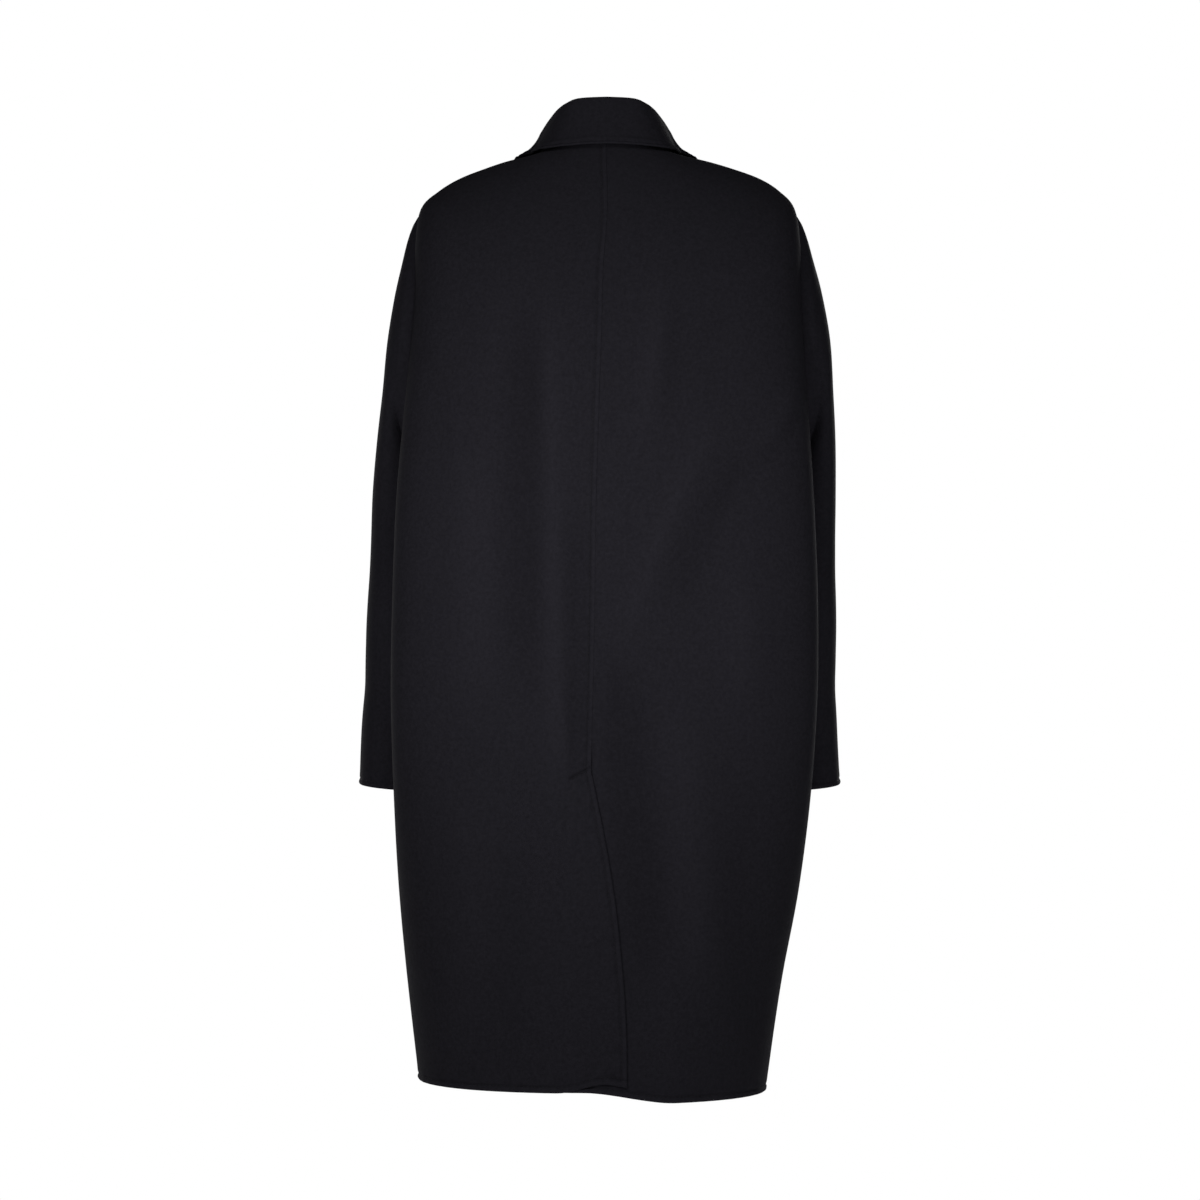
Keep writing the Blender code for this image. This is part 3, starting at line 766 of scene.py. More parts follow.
@dataclass(frozen=True)
class Thread:
    """Sewing thread's sizes, and the mesh of its stitches."""

    pitch: float = 4.2 * MM
    length: float = 3.2 * MM
    radius: float = 0.27 * MM
    arch: float = 0.12 * MM
    sink: float = 0.30 * MM
    taper: float = 0.75
    sides: int = 6
    steps: int = 5

    def mesh(self, name: str, runs: Sequence[StitchRun]) -> bpy.types.Mesh:
        """Makes the stitches of several runs as one mesh.

        Args:
            name: The mesh's name.
            runs: Rows of stitches.

        Returns:
            A mesh of short bowed lengths of thread.
        """
        points, faces, count = [], [], 0
        part = np.linspace(-1, 1, self.steps)
        thick = self.radius * np.sqrt(1 - self.taper * part**2)
        height = self.arch - (self.arch + self.sink) * part**2
        angles = np.linspace(0, 2 * math.pi, self.sides, endpoint=False)
        for run in runs:
            metres = travelled(run.path, 0)
            number = int(metres[-1] / self.pitch)
            middles = (np.arange(number) + 0.5) * metres[-1] / number
            at = middles[:, None] + part * self.length / 2
            place = np.stack([np.interp(at, metres, run.path[:, k]) for k in range(3)], axis=-1)
            up = unit(np.stack([np.interp(at, metres, run.normals[:, k]) for k in range(3)], axis=-1))
            sideways = unit(np.cross(up, np.gradient(place, axis=1)))
            ring = np.cos(angles)[:, None] * sideways[:, :, None]
            ring = ring + np.sin(angles)[:, None] * up[:, :, None]
            body = place + up * height[:, None]
            points.append((body[:, :, None] + ring * thick[:, None, None]).reshape(-1, 3))
            faces += self.faces(number, count)
            count += number * self.steps * self.sides
        mesh = bpy.data.meshes.new(name)
        mesh.from_pydata(np.concatenate(points), [], faces)
        mesh.shade_smooth()
        return mesh

    def faces(self, number: int, first: int) -> list[list[int]]:
        """Faces of some stitches.

        Args:
            number: How many stitches.
            first: Index of their first point.

        Returns:
            Quads along each stitch and a cap at each end.
        """
        one = np.arange(self.steps * self.sides).reshape(self.steps, self.sides)
        turned = np.roll(one, -1, axis=1)
        quads = np.stack([one[:-1], turned[:-1], turned[1:], one[1:]], axis=-1).reshape(-1, 4)
        starts = first + np.arange(number) * self.steps * self.sides
        found = (starts[:, None, None] + quads).reshape(-1, 4).tolist()
        found += (starts[:, None] + one[0][::-1]).tolist()
        found += (starts[:, None] + one[-1]).tolist()
        return found


THREAD = Thread()
# Name of the point attribute of painted light and shade.
PAINTED_SHADING = "crest"


@dataclass
class ClothShell:
    """A piece of cloth as a closed shell: outer face, inner face and a rounded edge."""

    name: str
    grids: list[ClothGrid]
    weld: float = 1e-6
    edge_steps: int = 4

    def welded(self) -> tuple[Array, Array, Array, Array, Array]:
        """Joins the grids where they share points.

        Returns:
            Points, quads, each quad's flat coordinates, and the thickness and painted light and shade at
            each point.
        """
        points, quads, flats, walls, painted_shadings, count = [], [], [], [], [], 0
        for grid in self.grids:
            rows, columns = grid.points.shape[:2]
            index = np.arange(rows * columns).reshape(rows, columns)
            found = np.stack([index[:-1, :-1], index[:-1, 1:], index[1:, 1:], index[1:, :-1]], axis=-1)
            found = found.reshape(-1, 4)
            if grid.flip:
                found = found[:, ::-1]
            flats.append(grid.flat.reshape(-1, 2)[found])
            points.append(grid.points.reshape(-1, 3))
            walls.append(grid.thickness.reshape(-1))
            painted_shadings.append(grid.crest.reshape(-1))
            quads.append(found + count)
            count += rows * columns
        joined = np.concatenate(points)
        keys = np.round(joined / self.weld).astype(np.int64)
        _, first, inverse = np.unique(keys, axis=0, return_index=True, return_inverse=True)
        inverse = inverse.reshape(-1)
        quads = inverse[np.concatenate(quads)]
        wall, crest = np.concatenate(walls)[first], np.concatenate(painted_shadings)[first]
        return joined[first], quads, np.concatenate(flats), wall, crest

    @staticmethod
    def directions(points: Array, quads: Array) -> tuple[Array, Array, Array]:
        """Normals, and the ways out of the cloth at its edge.

        Args:
            points: The outer face's points.
            quads: Its quads.

        Returns:
            Normals, ways out past the edge, and the edge's pairs of points.
        """
        first_way = points[quads[:, 2]] - points[quads[:, 0]]
        other_way = points[quads[:, 3]] - points[quads[:, 1]]
        faces = np.cross(first_way, other_way)
        normals = np.zeros_like(points)
        for corner in range(4):
            np.add.at(normals, quads[:, corner], faces)
        normals = unit(normals)
        pairs = np.stack([quads, np.roll(quads, -1, axis=1)], axis=-1).reshape(-1, 2)
        codes = pairs[:, 0] * len(points) + pairs[:, 1]
        twins = pairs[:, 1] * len(points) + pairs[:, 0]
        edge = pairs[~np.isin(codes, twins)]
        outs = np.zeros_like(points)
        away = np.cross(points[edge[:, 1]] - points[edge[:, 0]], normals[edge[:, 0]])
        np.add.at(outs, edge[:, 0], unit(away))
        np.add.at(outs, edge[:, 1], unit(away))
        outs = unit(outs - normals * (outs * normals).sum(-1)[:, None])
        return normals, outs, edge

    def build(self, materials: Sequence[bpy.types.Material]) -> bpy.types.Object:
        """Makes the shell.

        Args:
            materials: The cloth's outer face and inner face.

        Returns:
            The piece, linked to the scene.
        """
        points, quads, flats, walls, painted_shadings = self.welded()
        normals, outs, edge = self.directions(points, quads)
        number = len(points)
        on_edge = np.unique(edge)
        place = np.full(number, -1)
        place[on_edge] = np.arange(len(on_edge))
        layers = [points]
        half = walls[on_edge, None] / 2
        middle = points[on_edge] - normals[on_edge] * half
        for turn in np.linspace(0, math.pi, self.edge_steps + 1)[1:-1]:
            way = math.cos(turn) * normals[on_edge] + math.sin(turn) * outs[on_edge]
            layers.append(middle + way * half)
        layers.append(points - normals * walls[:, None])

        starts = np.cumsum([0] + [len(layer) for layer in layers])
        rounds = [edge]
        rounds += [starts[k] + place[edge] for k in range(1, self.edge_steps)]
        rounds.append(starts[self.edge_steps] + edge)
        rims = [
            np.stack([near[:, 1], near[:, 0], far[:, 0], far[:, 1]], axis=-1)
            for near, far in zip(rounds[:-1], rounds[1:])
        ]
        inner = starts[self.edge_steps] + quads[:, ::-1]
        faces = np.concatenate([quads, inner, *rims])

        mesh = bpy.data.meshes.new(self.name)
        mesh.from_pydata(np.concatenate(layers), [], faces.tolist())
        mesh.shade_smooth()
        for material in materials:
            mesh.materials.append(material)
        inside = np.zeros(len(faces), np.int32)
        inside[len(quads) : 2 * len(quads)] = 1
        mesh.polygons.foreach_set("material_index", inside)
        self.lay_flat(mesh, points, quads, flats, len(faces))
        # Painted light and shade as a point attribute for the colour; the rim takes the values of its
        # edge.
        rim_painted_shadings = [painted_shadings[on_edge]] * (self.edge_steps - 1)
        all_painted_shadings = np.concatenate([painted_shadings, *rim_painted_shadings, painted_shadings])
        layer = mesh.attributes.new(PAINTED_SHADING, "FLOAT", "POINT")
        layer.data.foreach_set("value", all_painted_shadings.astype(np.float32))
        piece = bpy.data.objects.new(self.name, mesh)
        bpy.context.scene.collection.objects.link(piece)
        return piece

    @staticmethod
    def lay_flat(mesh: bpy.types.Mesh, points: Array, quads: Array, flats: Array, faces: int) -> None:
        """Gives the mesh its flat coordinates, for the weave.

        Args:
            mesh: The shell's mesh.
            points: The outer face's points.
            quads: Its quads.
            flats: Flat coordinates of the quads' corners.
            faces: How many faces the shell has.
        """
        at_point = np.zeros((len(points), 2))
        at_point[quads.reshape(-1)] = flats.reshape(-1, 2)
        corners = np.zeros((faces, 4, 2))
        corners[: len(quads)] = flats
        corners[len(quads) : 2 * len(quads)] = flats[:, ::-1]
        corners[2 * len(quads) :] = at_point[:1]
        layer = mesh.uv_layers.new(name="cloth")
        layer.uv.foreach_set("vector", corners.astype(np.float32).ravel())


def set_inputs(node: bpy.types.Node, values: dict[str, object]) -> None:
    """Gives a shader node its fixed values.

    Args:
        node: The node.
        values: Values by the names of its inputs.
    """
    for name, value in values.items():
        node.inputs[name].default_value = value


class NapGroup:
    """Shader node group of felted wool: colour, roughness and height that change over the cloth, with
    painted light and shade from the folds and grooves mixed into the colour.
    """

    name = "wool_nap"
    inputs = (
        ("Deep", "NodeSocketColor", (0.008, 0.008, 0.009, 1.0)),
        ("Lit", "NodeSocketColor", (0.018, 0.017, 0.020, 1.0)),
        ("Fibre Scale", "NodeSocketFloat", 800.0),
        ("Mottle Scale", "NodeSocketFloat", 90.0),
        ("Twill Scale", "NodeSocketFloat", 480.0),
        ("Roughness", "NodeSocketFloat", 0.9),
        # Painted light and shade: moves the colour towards Lit on ridges and towards Deep in hollows and
        # grooves.
        ("Crest", "NodeSocketFloat", 0.0),
        ("Painted Shading Share", "NodeSocketFloat", 0.2),
    )
    outputs = (
        ("Color", "NodeSocketColor"),
        ("Roughness", "NodeSocketFloat"),
        ("Height", "NodeSocketFloat"),
    )
    fibre_detail = (3.0, 0.65)
    mottle_detail = (2.0, 0.55)
    twill_wave = {"Distortion": 2.2, "Detail": 2.0, "Detail Scale": 1.4}
    twill_share = 0.35
    mottle_share = 0.40
    shade_range = {"From Min": 0.30, "From Max": 0.70}
    fibre_roughness = 0.08

    def build(self) -> bpy.types.NodeTree:
        """Makes the group.

        Returns:
            The node group.
        """
        tree = bpy.data.node_groups.new(self.name, "ShaderNodeTree")
        for name, kind, value in self.inputs:
            tree.interface.new_socket(name, in_out="INPUT", socket_type=kind).default_value = value
        for name, kind in self.outputs:
            tree.interface.new_socket(name, in_out="OUTPUT", socket_type=kind)
        given = tree.nodes.new("NodeGroupInput")
        result = tree.nodes.new("NodeGroupOutput")
        place = tree.nodes.new("ShaderNodeTexCoord")
        flat = tree.nodes.new("ShaderNodeUVMap")
        flat.uv_map = "cloth"

        where = place.outputs["Object"]
        fibre = self.noise(tree, where, given.outputs["Fibre Scale"], *self.fibre_detail)
        mottle = self.noise(tree, where, given.outputs["Mottle Scale"], *self.mottle_detail)
        twill = tree.nodes.new("ShaderNodeTexWave")
        twill.bands_direction = "DIAGONAL"
        set_inputs(twill, self.twill_wave)
        tree.links.new(flat.outputs["UV"], twill.inputs["Vector"])
        tree.links.new(given.outputs["Twill Scale"], twill.inputs["Scale"])

        height = self.mixed(tree, fibre, twill.outputs["Fac"], self.twill_share)
        shade = self.mixed(tree, height, mottle, self.mottle_share)
        spread = tree.nodes.new("ShaderNodeMapRange")
        set_inputs(spread, self.shade_range)
        tree.links.new(shade, spread.inputs["Value"])
        # Painted light and shade added to the fibre tone: lighter on ridges, darker in hollows and
        # grooves.
        tone_and_painted_shading = tree.nodes.new("ShaderNodeMath")
        tone_and_painted_shading.operation = "MULTIPLY_ADD"
        tree.links.new(given.outputs["Crest"], tone_and_painted_shading.inputs[0])
        tree.links.new(given.outputs["Painted Shading Share"], tone_and_painted_shading.inputs[1])
        tree.links.new(spread.outputs["Result"], tone_and_painted_shading.inputs[2])
        colour = tree.nodes.new("ShaderNodeMix")
        colour.data_type = "RGBA"
        tree.links.new(tone_and_painted_shading.outputs["Value"], colour.inputs["Factor"])
        tree.links.new(given.outputs["Deep"], colour.inputs["A"])
        tree.links.new(given.outputs["Lit"], colour.inputs["B"])
        rough = tree.nodes.new("ShaderNodeMath")
        rough.operation = "MULTIPLY_ADD"
        rough.inputs[1].default_value = self.fibre_roughness
        tree.links.new(fibre, rough.inputs[0])
        tree.links.new(given.outputs["Roughness"], rough.inputs[2])
        tree.links.new(colour.outputs["Result"], result.inputs["Color"])
        tree.links.new(rough.outputs["Value"], result.inputs["Roughness"])
        tree.links.new(height, result.inputs["Height"])
        return tree

    @staticmethod
    def noise(
        tree: bpy.types.NodeTree,
        vector: bpy.types.NodeSocket,
        scale: bpy.types.NodeSocket,
        detail: float,
        roughness: float,
    ) -> bpy.types.NodeSocket:
        """Adds a noise texture.

        Args:
            tree: The group.
            vector: Its coordinates.
            scale: Its scale.
            detail: Its detail.
            roughness: How strong the detail is.

        Returns:
            The texture's value.
        """
        node = tree.nodes.new("ShaderNodeTexNoise")
        set_inputs(node, {"Detail": detail, "Roughness": roughness})
        tree.links.new(vector, node.inputs["Vector"])
        tree.links.new(scale, node.inputs["Scale"])
        return node.outputs["Fac"]

    @staticmethod
    def mixed(
        tree: bpy.types.NodeTree, first: bpy.types.NodeSocket, second: bpy.types.NodeSocket, share: float
    ) -> bpy.types.NodeSocket:
        """Mixes two values.

        Args:
            tree: The group.
            first: A value.
            second: A value.
            share: How much of the second.

        Returns:
            The mixed value.
        """
        node = tree.nodes.new("ShaderNodeMix")
        node.data_type = "FLOAT"
        node.inputs["Factor"].default_value = share
        tree.links.new(first, node.inputs["A"])
        tree.links.new(second, node.inputs["B"])
        return node.outputs["Result"]


@dataclass(frozen=True)
class WoolFinish:
    """A face of the wool cloth, or its thread: matt black with a short nap."""

    name: str
    deep: Colour
    lit: Colour
    roughness: float = 0.92
    fibre_scale: float = 800.0
    mottle_scale: float = 260.0
    twill_pitch: float = 1.3 * MM
    specular: float = 0.04
    sheen: float = 0.0
    sheen_roughness: float = 0.5
    sheen_tint: Colour = (0.55, 0.55, 0.62)
    bump: float = 0.45
    bump_distance: float = 0.5 * MM
    # How strongly the painted light and shade of folds and grooves changes the colour.
    painted_shading_share: float = 0.22

    def material(self, nap: bpy.types.NodeTree) -> bpy.types.Material:
        """Makes the finish's material.

        Args:
            nap: The node group of felted wool.

        Returns:
            A material.
        """
        made = bpy.data.materials.new(self.name)
        made.use_nodes = True
        made.diffuse_color = (*self.deep, 1.0)
        nodes, links = made.node_tree.nodes, made.node_tree.links
        shader = nodes["Principled BSDF"]
        group = nodes.new("ShaderNodeGroup")
        group.node_tree = nap
        nap_values = {
            "Deep": (*self.deep, 1.0),
            "Lit": (*self.lit, 1.0),
            "Fibre Scale": self.fibre_scale,
            "Mottle Scale": self.mottle_scale,
            "Twill Scale": 2 * math.pi / (10 * self.twill_pitch),
            "Roughness": self.roughness,
            "Painted Shading Share": self.painted_shading_share,
        }
        set_inputs(group, nap_values)
        # Reads the painted light and shade of the folds and grooves into the colour.
        crest = nodes.new("ShaderNodeAttribute")
        crest.attribute_name = PAINTED_SHADING
        links.new(crest.outputs["Fac"], group.inputs["Crest"])
        bump = nodes.new("ShaderNodeBump")
        set_inputs(bump, {"Strength": self.bump, "Distance": self.bump_distance})
        shader_values = {
            "Metallic": 0.0,
            "Specular IOR Level": self.specular,
            "Sheen Weight": self.sheen,
            "Sheen Roughness": self.sheen_roughness,
            "Sheen Tint": (*self.sheen_tint, 1.0),
        }
        set_inputs(shader, shader_values)
        links.new(group.outputs["Color"], shader.inputs["Base Color"])
        links.new(group.outputs["Roughness"], shader.inputs["Roughness"])
        links.new(group.outputs["Height"], bump.inputs["Height"])
        links.new(bump.outputs["Normal"], shader.inputs["Normal"])
        return made


@dataclass
class Wardrobe:
    """The coat's materials, made once."""

    outside: bpy.types.Material
    inside: bpy.types.Material
    thread: bpy.types.Material

    @classmethod
    def make(cls) -> "Wardrobe":
        """Makes the wool's two faces and its thread.

        Returns:
            The three materials.
        """
        nap = NapGroup().build()
        outside = WoolFinish("black_wool_face", (0.0080, 0.0076, 0.0098), (0.0165, 0.0157, 0.0201))
        inside = WoolFinish("black_wool_inside", (0.0078, 0.0074, 0.0095), (0.0158, 0.0150, 0.0192))
        thread = WoolFinish(
            "black_thread",
            (0.006, 0.006, 0.007),
            (0.014, 0.014, 0.016),
            roughness=0.6,
            fibre_scale=2600.0,
            mottle_scale=600.0,
            twill_pitch=0.5 * MM,
            specular=0.12,
        )
        return cls(outside.material(nap), inside.material(nap), thread.material(nap))


@dataclass
class SewnPiece:
    """A cut piece of the coat: its grids and stitches, and how it is handed to the frame."""

    form: BodyForm
    grids: list[ClothGrid] = field(default_factory=list)
    runs: list[StitchRun] = field(default_factory=list)

    node: str = ""
    cut: tuple[float, float] = (0.0, 0.0)
    cut_area: float = 0.0
    held: Held = Held.HUNG
    sewn_to: tuple[str, ...] = ()

    def cut_and_sew(self) -> None:
        """Fills the grids and the stitch runs."""
        raise NotImplementedError

    def stitch(self, points: Array, normals: Array) -> None:
        """Adds a row of stitches along a line on the cloth."""
        self.runs.append(StitchRun(points, normals))

    def dress(self, wardrobe: Wardrobe) -> bpy.types.Object:
        """Builds the piece and hands it to the frame.

        Args:
            wardrobe: The coat's materials.

        Returns:
            The piece of cloth.
        """
        self.cut_and_sew()
        cloth = ClothShell(f"wool_{self.node}", self.grids).build((wardrobe.outside, wardrobe.inside))
        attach(cloth, BODY)
        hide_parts(self.node)
        if self.runs:
            mesh = THREAD.mesh(f"stitches_{self.node}", self.runs)
            mesh.materials.append(wardrobe.thread)
            thread = bpy.data.objects.new(mesh.name, mesh)
            bpy.context.scene.collection.objects.link(thread)
            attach(thread, BODY)
        faces = len(cloth.data.polygons)
        LOG.info("%s: %d faces, %d runs of stitches", cloth.name, faces, len(self.runs))
        return cloth


@dataclass
class Vent:
    """The back vent: the left back laps over the right."""

    top_ring: float = 12.4
    edge_ring: float = 12.75
    lap_at_hem: float = 51 * MM
    seam_drift: float = 1.07 * MM
    underlap: float = 28 * MM
    settle: float = 40 * MM
    corner_rise: float = 0.145
    corner_across: tuple[float, float] = (-40 * MM, 20 * MM)
    corner_rings: float = 1.5
    underlap_columns: int = 9
    under_turned_share: float = 0.4
    bar_top: tuple[float, float] = (15 * MM, -663 * MM)
    bar_low: tuple[float, float] = (38 * MM, -676 * MM)
    bar_depth: float = 2.2 * MM
    bar_half_width: float = 1.7 * MM
    bar_points: int = 24
    bar_near_rings: tuple[float, float] = (12.5, 13.1)
    bar_near_station: float = 0.1
    bar_sink: float = 0.8
    bar_samples: int = 120
    bar_starts: tuple[float, float] = (-0.1, 0.08)
    bar_ends: tuple[float, float] = (0.92, 1.1)

    def share(self, ring: Array, hem: float) -> Array:
        """0 where the vent's edge leaves the centre seam, 1 at the hem."""
        return np.clip((ring - self.edge_ring) / (hem - self.edge_ring), 0, 1)

    def bar_relief(self, points: Array) -> Array:
        """Groove of the slanting bar of stitches.

        Args:
            points: Points of the left back.

        Returns:
            Metres outwards, negative in the groove.
        """
        start, end = np.array(self.bar_top), np.array(self.bar_low)
        run = end - start
        long = np.hypot(*run)
        away = points[..., [0, 2]] - start
        part = (away * run).sum(-1) / long**2
        apart = (away[..., 0] * run[1] - away[..., 1] * run[0]) / long
        window = ease(part, *self.bar_starts) * (1 - ease(part, *self.bar_ends))
        return -self.bar_depth * window * np.exp(-((apart / self.bar_half_width) ** 2))


@dataclass
class BackPanel(SewnPiece):
    """One back: centre seam and vent edge to the shoulder, armhole and side seam."""

    side: Side = Side.LEFT
    vent: Vent = field(default_factory=Vent)
    cuts: ClassVar[dict[Side, tuple[tuple[float, float], float]]] = {
        Side.LEFT: ((0.34, 1.12), 0.310),
        Side.RIGHT: ((0.36, 1.12), 0.331),
    }
    bar_rings: tuple[float, float, float] = (12.66, 12.93, 1.1 * MM)
    bar_steps: tuple[float, float, float] = (13.2 * MM, 43 * MM, 1.1 * MM)

    def __post_init__(self) -> None:
        """Sets the piece's place in the coat."""
        self.node = f"back_{self.side.word}"
        self.sewn_to = (f"front_{self.side.word}", "collar")
        self.cut, self.cut_area = self.cuts[self.side]

    def cut_and_sew(self) -> None:
        """Makes the panel with its sewn relief, its stitches and, on the right, the vent's underlap."""
        form, side, vent = self.form, self.side, self.vent
        over = side is Side.LEFT
        rings = form.rows(fine=[self.bar_rings] if over else [])
        share = vent.share(rings, form.hem)
        speed = length_of(form.across(side, rings, np.zeros_like(rings)))
        drift = vent.seam_drift * np.minimum(rings, vent.edge_ring)
        lap = vent.lap_at_hem * np.sin(math.pi / 2 * share)
        inner = ((drift - lap if over else -drift) - CLOTH.seam_tuck) / speed
        outer = form.seam_station(side, rings, -1)
        steps = np.concatenate([EDGE_STEPS, np.arange(*self.bar_steps)]) if over else SEAM_STEPS
        stations = form.columns_between(side, rings, inner, outer, steps, SEAM_STEPS)
        rows = np.broadcast_to(rings[:, None], stations.shape)
        lift = np.zeros(stations.shape)
        if over:
            past = ease(-stations * speed[:, None], *vent.corner_across)
            rows = rows - vent.corner_rise * past * ease(rows, form.hem - vent.corner_rings, form.hem)
        else:
            reach = (lap - drift + vent.settle / 2)[:, None]
            sunk = 1 - ease(stations * speed[:, None], reach, reach + vent.settle)
            lift = -CLOTH.layer * sunk * ease(rows, vent.top_ring, vent.edge_ring)
        smooth = form.smooth(side, rows, stations)
        from_inner = travelled(smooth, 1) + CLOTH.round
        from_seam = from_inner[:, -1:] - from_inner + CLOTH.round
        down = travelled(smooth, 0)
        from_hem = down[-1:] - down + CLOTH.round
        sewn = EDGE.relief(from_hem, from_inner) + SEAM.relief(from_seam) + SEAM.relief(down)
        if over:
            sewn = sewn + EDGE.relief(from_inner, down) + vent.bar_relief(smooth)
        else:
            sewn = sewn + SEAM.relief(from_inner) * (1 - share[:, None])
        points = form.surface(side, rows, stations, lift + sewn)
        turned_share = 1 if over else vent.under_turned_share
        wall = CLOTH.thickness + CLOTH.turned_extra * EDGE.turned(from_hem) * turned_share
        # The grid carries painted light and shade from its folds, grooves and puffed bands.
        self.grids.append(ClothGrid(points, side is Side.RIGHT, wall, form.crest(smooth, sewn)))

        normals = form.outward(side, rows, stations)
        hem_row = -1 - STITCH_STEP
        self.stitch(points[hem_row], normals[hem_row])
        if over:
            self.stitch(points[:hem_row, STITCH_STEP], normals[:hem_row, STITCH_STEP])
            self.sew_bar()
        else:
            self.add_underlap(rings, inner, points)

    def sew_bar(self) -> None:
        """Sews the slanting bar across the top of the vent."""
        vent, form = self.vent, self.form
        part = np.linspace(0, 1, vent.bar_points)[:, None]
        line = np.array(vent.bar_top) + (np.array(vent.bar_low) - np.array(vent.bar_top)) * part
        rings = np.linspace(*vent.bar_near_rings, vent.bar_samples)
        z = form.smooth(self.side, rings, vent.bar_near_station)[:, 2]
        ring = np.interp(-line[:, 1], -z, rings)
        speed = length_of(form.across(self.side, ring, np.zeros_like(ring)))
        lean = read_smoothly(form.columns["lean"], ring) * MM
        station = (line[:, 0] - lean) / speed
        points = form.surface(self.side, ring, station, -vent.bar_sink * vent.bar_depth)
        self.stitch(points, form.outward(self.side, ring, station))

    def add_underlap(self, rings: Array, inner: Array, points: Array) -> None:
        """Adds the part of the right back that lies under the left.

        Args:
            rings: The panel's rows.
            inner: Stations of the panel's inner edge.
            points: The panel's points.
        """
        form, side, vent = self.form, self.side, self.vent
        below = rings >= vent.edge_ring
        speed = length_of(form.across(side, rings[below], np.zeros(below.sum())))
        parts = np.linspace(-vent.underlap, SEAM_STEPS[0], vent.underlap_columns)
        stations = inner[below][:, None] + parts / speed[:, None]
        rows = np.broadcast_to(rings[below][:, None], stations.shape)
        smooth = form.smooth(side, rows, stations)
        down = travelled(smooth, 0)
        from_hem = down[-1:] - down + CLOTH.round
        lift = EDGE.relief(from_hem, travelled(smooth, 1)) - CLOTH.layer
        under = form.surface(side, rows, stations, lift)
        under[:, -1] = points[below, 0]
        wall = CLOTH.thickness + vent.under_turned_share * CLOTH.turned_extra * EDGE.turned(from_hem)
        # Painted light and shade from the folds only.
        self.grids.append(ClothGrid(under, side is Side.RIGHT, wall, form.crest(smooth)))


@dataclass
class FrontOpening:
    """How the fronts lap, roll back and cross."""

    roll_top_x: float = 76 * MM
    roll_break_x: float = -42 * MM
    roll_break_z: float = -360 * MM
    lap: float = 45 * MM
    settle: float = 35 * MM
    neck_station: float = 2.15
    gorge_ring: float = 2.0
    gorge_shear: float = 0.034 / MM
    roll_radius: float = 1.5 * MM
    notch_width: float = 82 * MM
    tip_width: float = 2 * MM
    crossing_lift: float = 5.8 * MM
    crossing_top_z: float = -195 * MM
    crossing_low_z: float = -375 * MM
    crossing_fade: float = 70 * MM
    farthest_station: float = 4.2
    halvings: int = 40
    hem_to_break: float = 1.2
    break_samples: int = 400
    width_power: float = 0.9
    shear_power: float = 1.5

    def edge_station(self, form: BodyForm, side: Side, ring: Array) -> Array:
        """A front's edge: the roll line down to the break, then the lapped edge.

        Args:
            form: The body.
            side: The half of the coat.
            ring: Ring positions.

        Returns:
            Stations.
        """
        low, high = np.full_like(ring, form.shoulder), np.full_like(ring, self.farthest_station)
        lean = read_smoothly(form.columns["lean"], ring) * MM
        for _ in range(self.halvings):
            middle = (low + high) / 2
            points = form.smooth(side, ring, middle)
            drop = np.minimum(points[..., 2], 0) / self.roll_break_z
            roll_x = self.roll_top_x + (self.roll_break_x - self.roll_top_x) * drop
            inside = side.value * (points[..., 0] - lean) > np.maximum(roll_x, -self.lap)
            low, high = np.where(inside, middle, low), np.where(inside, high, middle)
        return np.maximum((low + high) / 2, self.neck_station)

    def layer_lift(self, side: Side, points: Array) -> Array:
        """The right front sinks under the left, and the left rises over the right's lapel.

        Args:
            side: The half of the coat.
            points: Points of the smooth body.

        Returns:
            Metres outwards.
        """
        own_x, z = side.value * points[..., 0], points[..., 2]
        below_top = 1 - ease(z, self.crossing_top_z, self.crossing_top_z + self.crossing_fade)
        if side is Side.RIGHT:
            under = 1 - ease(own_x, self.lap, self.lap + self.settle)
            return -CLOTH.layer * under * below_top
        near = 1 - ease(own_x, self.settle, self.lap + 2 * self.settle)
        above_low = ease(z, self.crossing_low_z - self.crossing_fade, self.crossing_low_z)
        return self.crossing_lift * near * below_top * above_low

    def lifted(self, form: BodyForm, side: Side, ring: Array, station: Array, lift: Number) -> Array:
        """A front's outer face in its layer, moved out by lift."""
        layer = self.layer_lift(side, form.smooth(side, ring, station))
        return form.surface(side, ring, station, layer + lift)

    def break_ring(self, form: BodyForm, side: Side) -> float:
        """Ring at which the roll line meets the lapped edge.

        Args:
            form: The body's form.
            side: The front's side.

        Returns:
            The ring's position.
        """
        rings = np.linspace(self.gorge_ring, form.hem / self.hem_to_break, self.break_samples)
        z = form.smooth(side, rings, self.edge_station(form, side, rings))[..., 2]
        return float(rings[np.argmax(z < self.roll_break_z)])

    def lapel_width(self, ring: Array, break_ring: float) -> Array:
        """Width of the turned-back lapel along its ring."""
        part = np.clip((break_ring - ring) / (break_ring - self.gorge_ring), 0, 1)
        return self.tip_width + (self.notch_width - self.tip_width) * part**self.width_power

    def shear(self, ring: Array, break_ring: float) -> Array:
        """How far the lapel's rings slope down from the roll line, in rings for each metre."""
        part = np.clip((break_ring - ring) / (break_ring - self.gorge_ring), 0, 1)
        return self.gorge_shear * part**self.shear_power


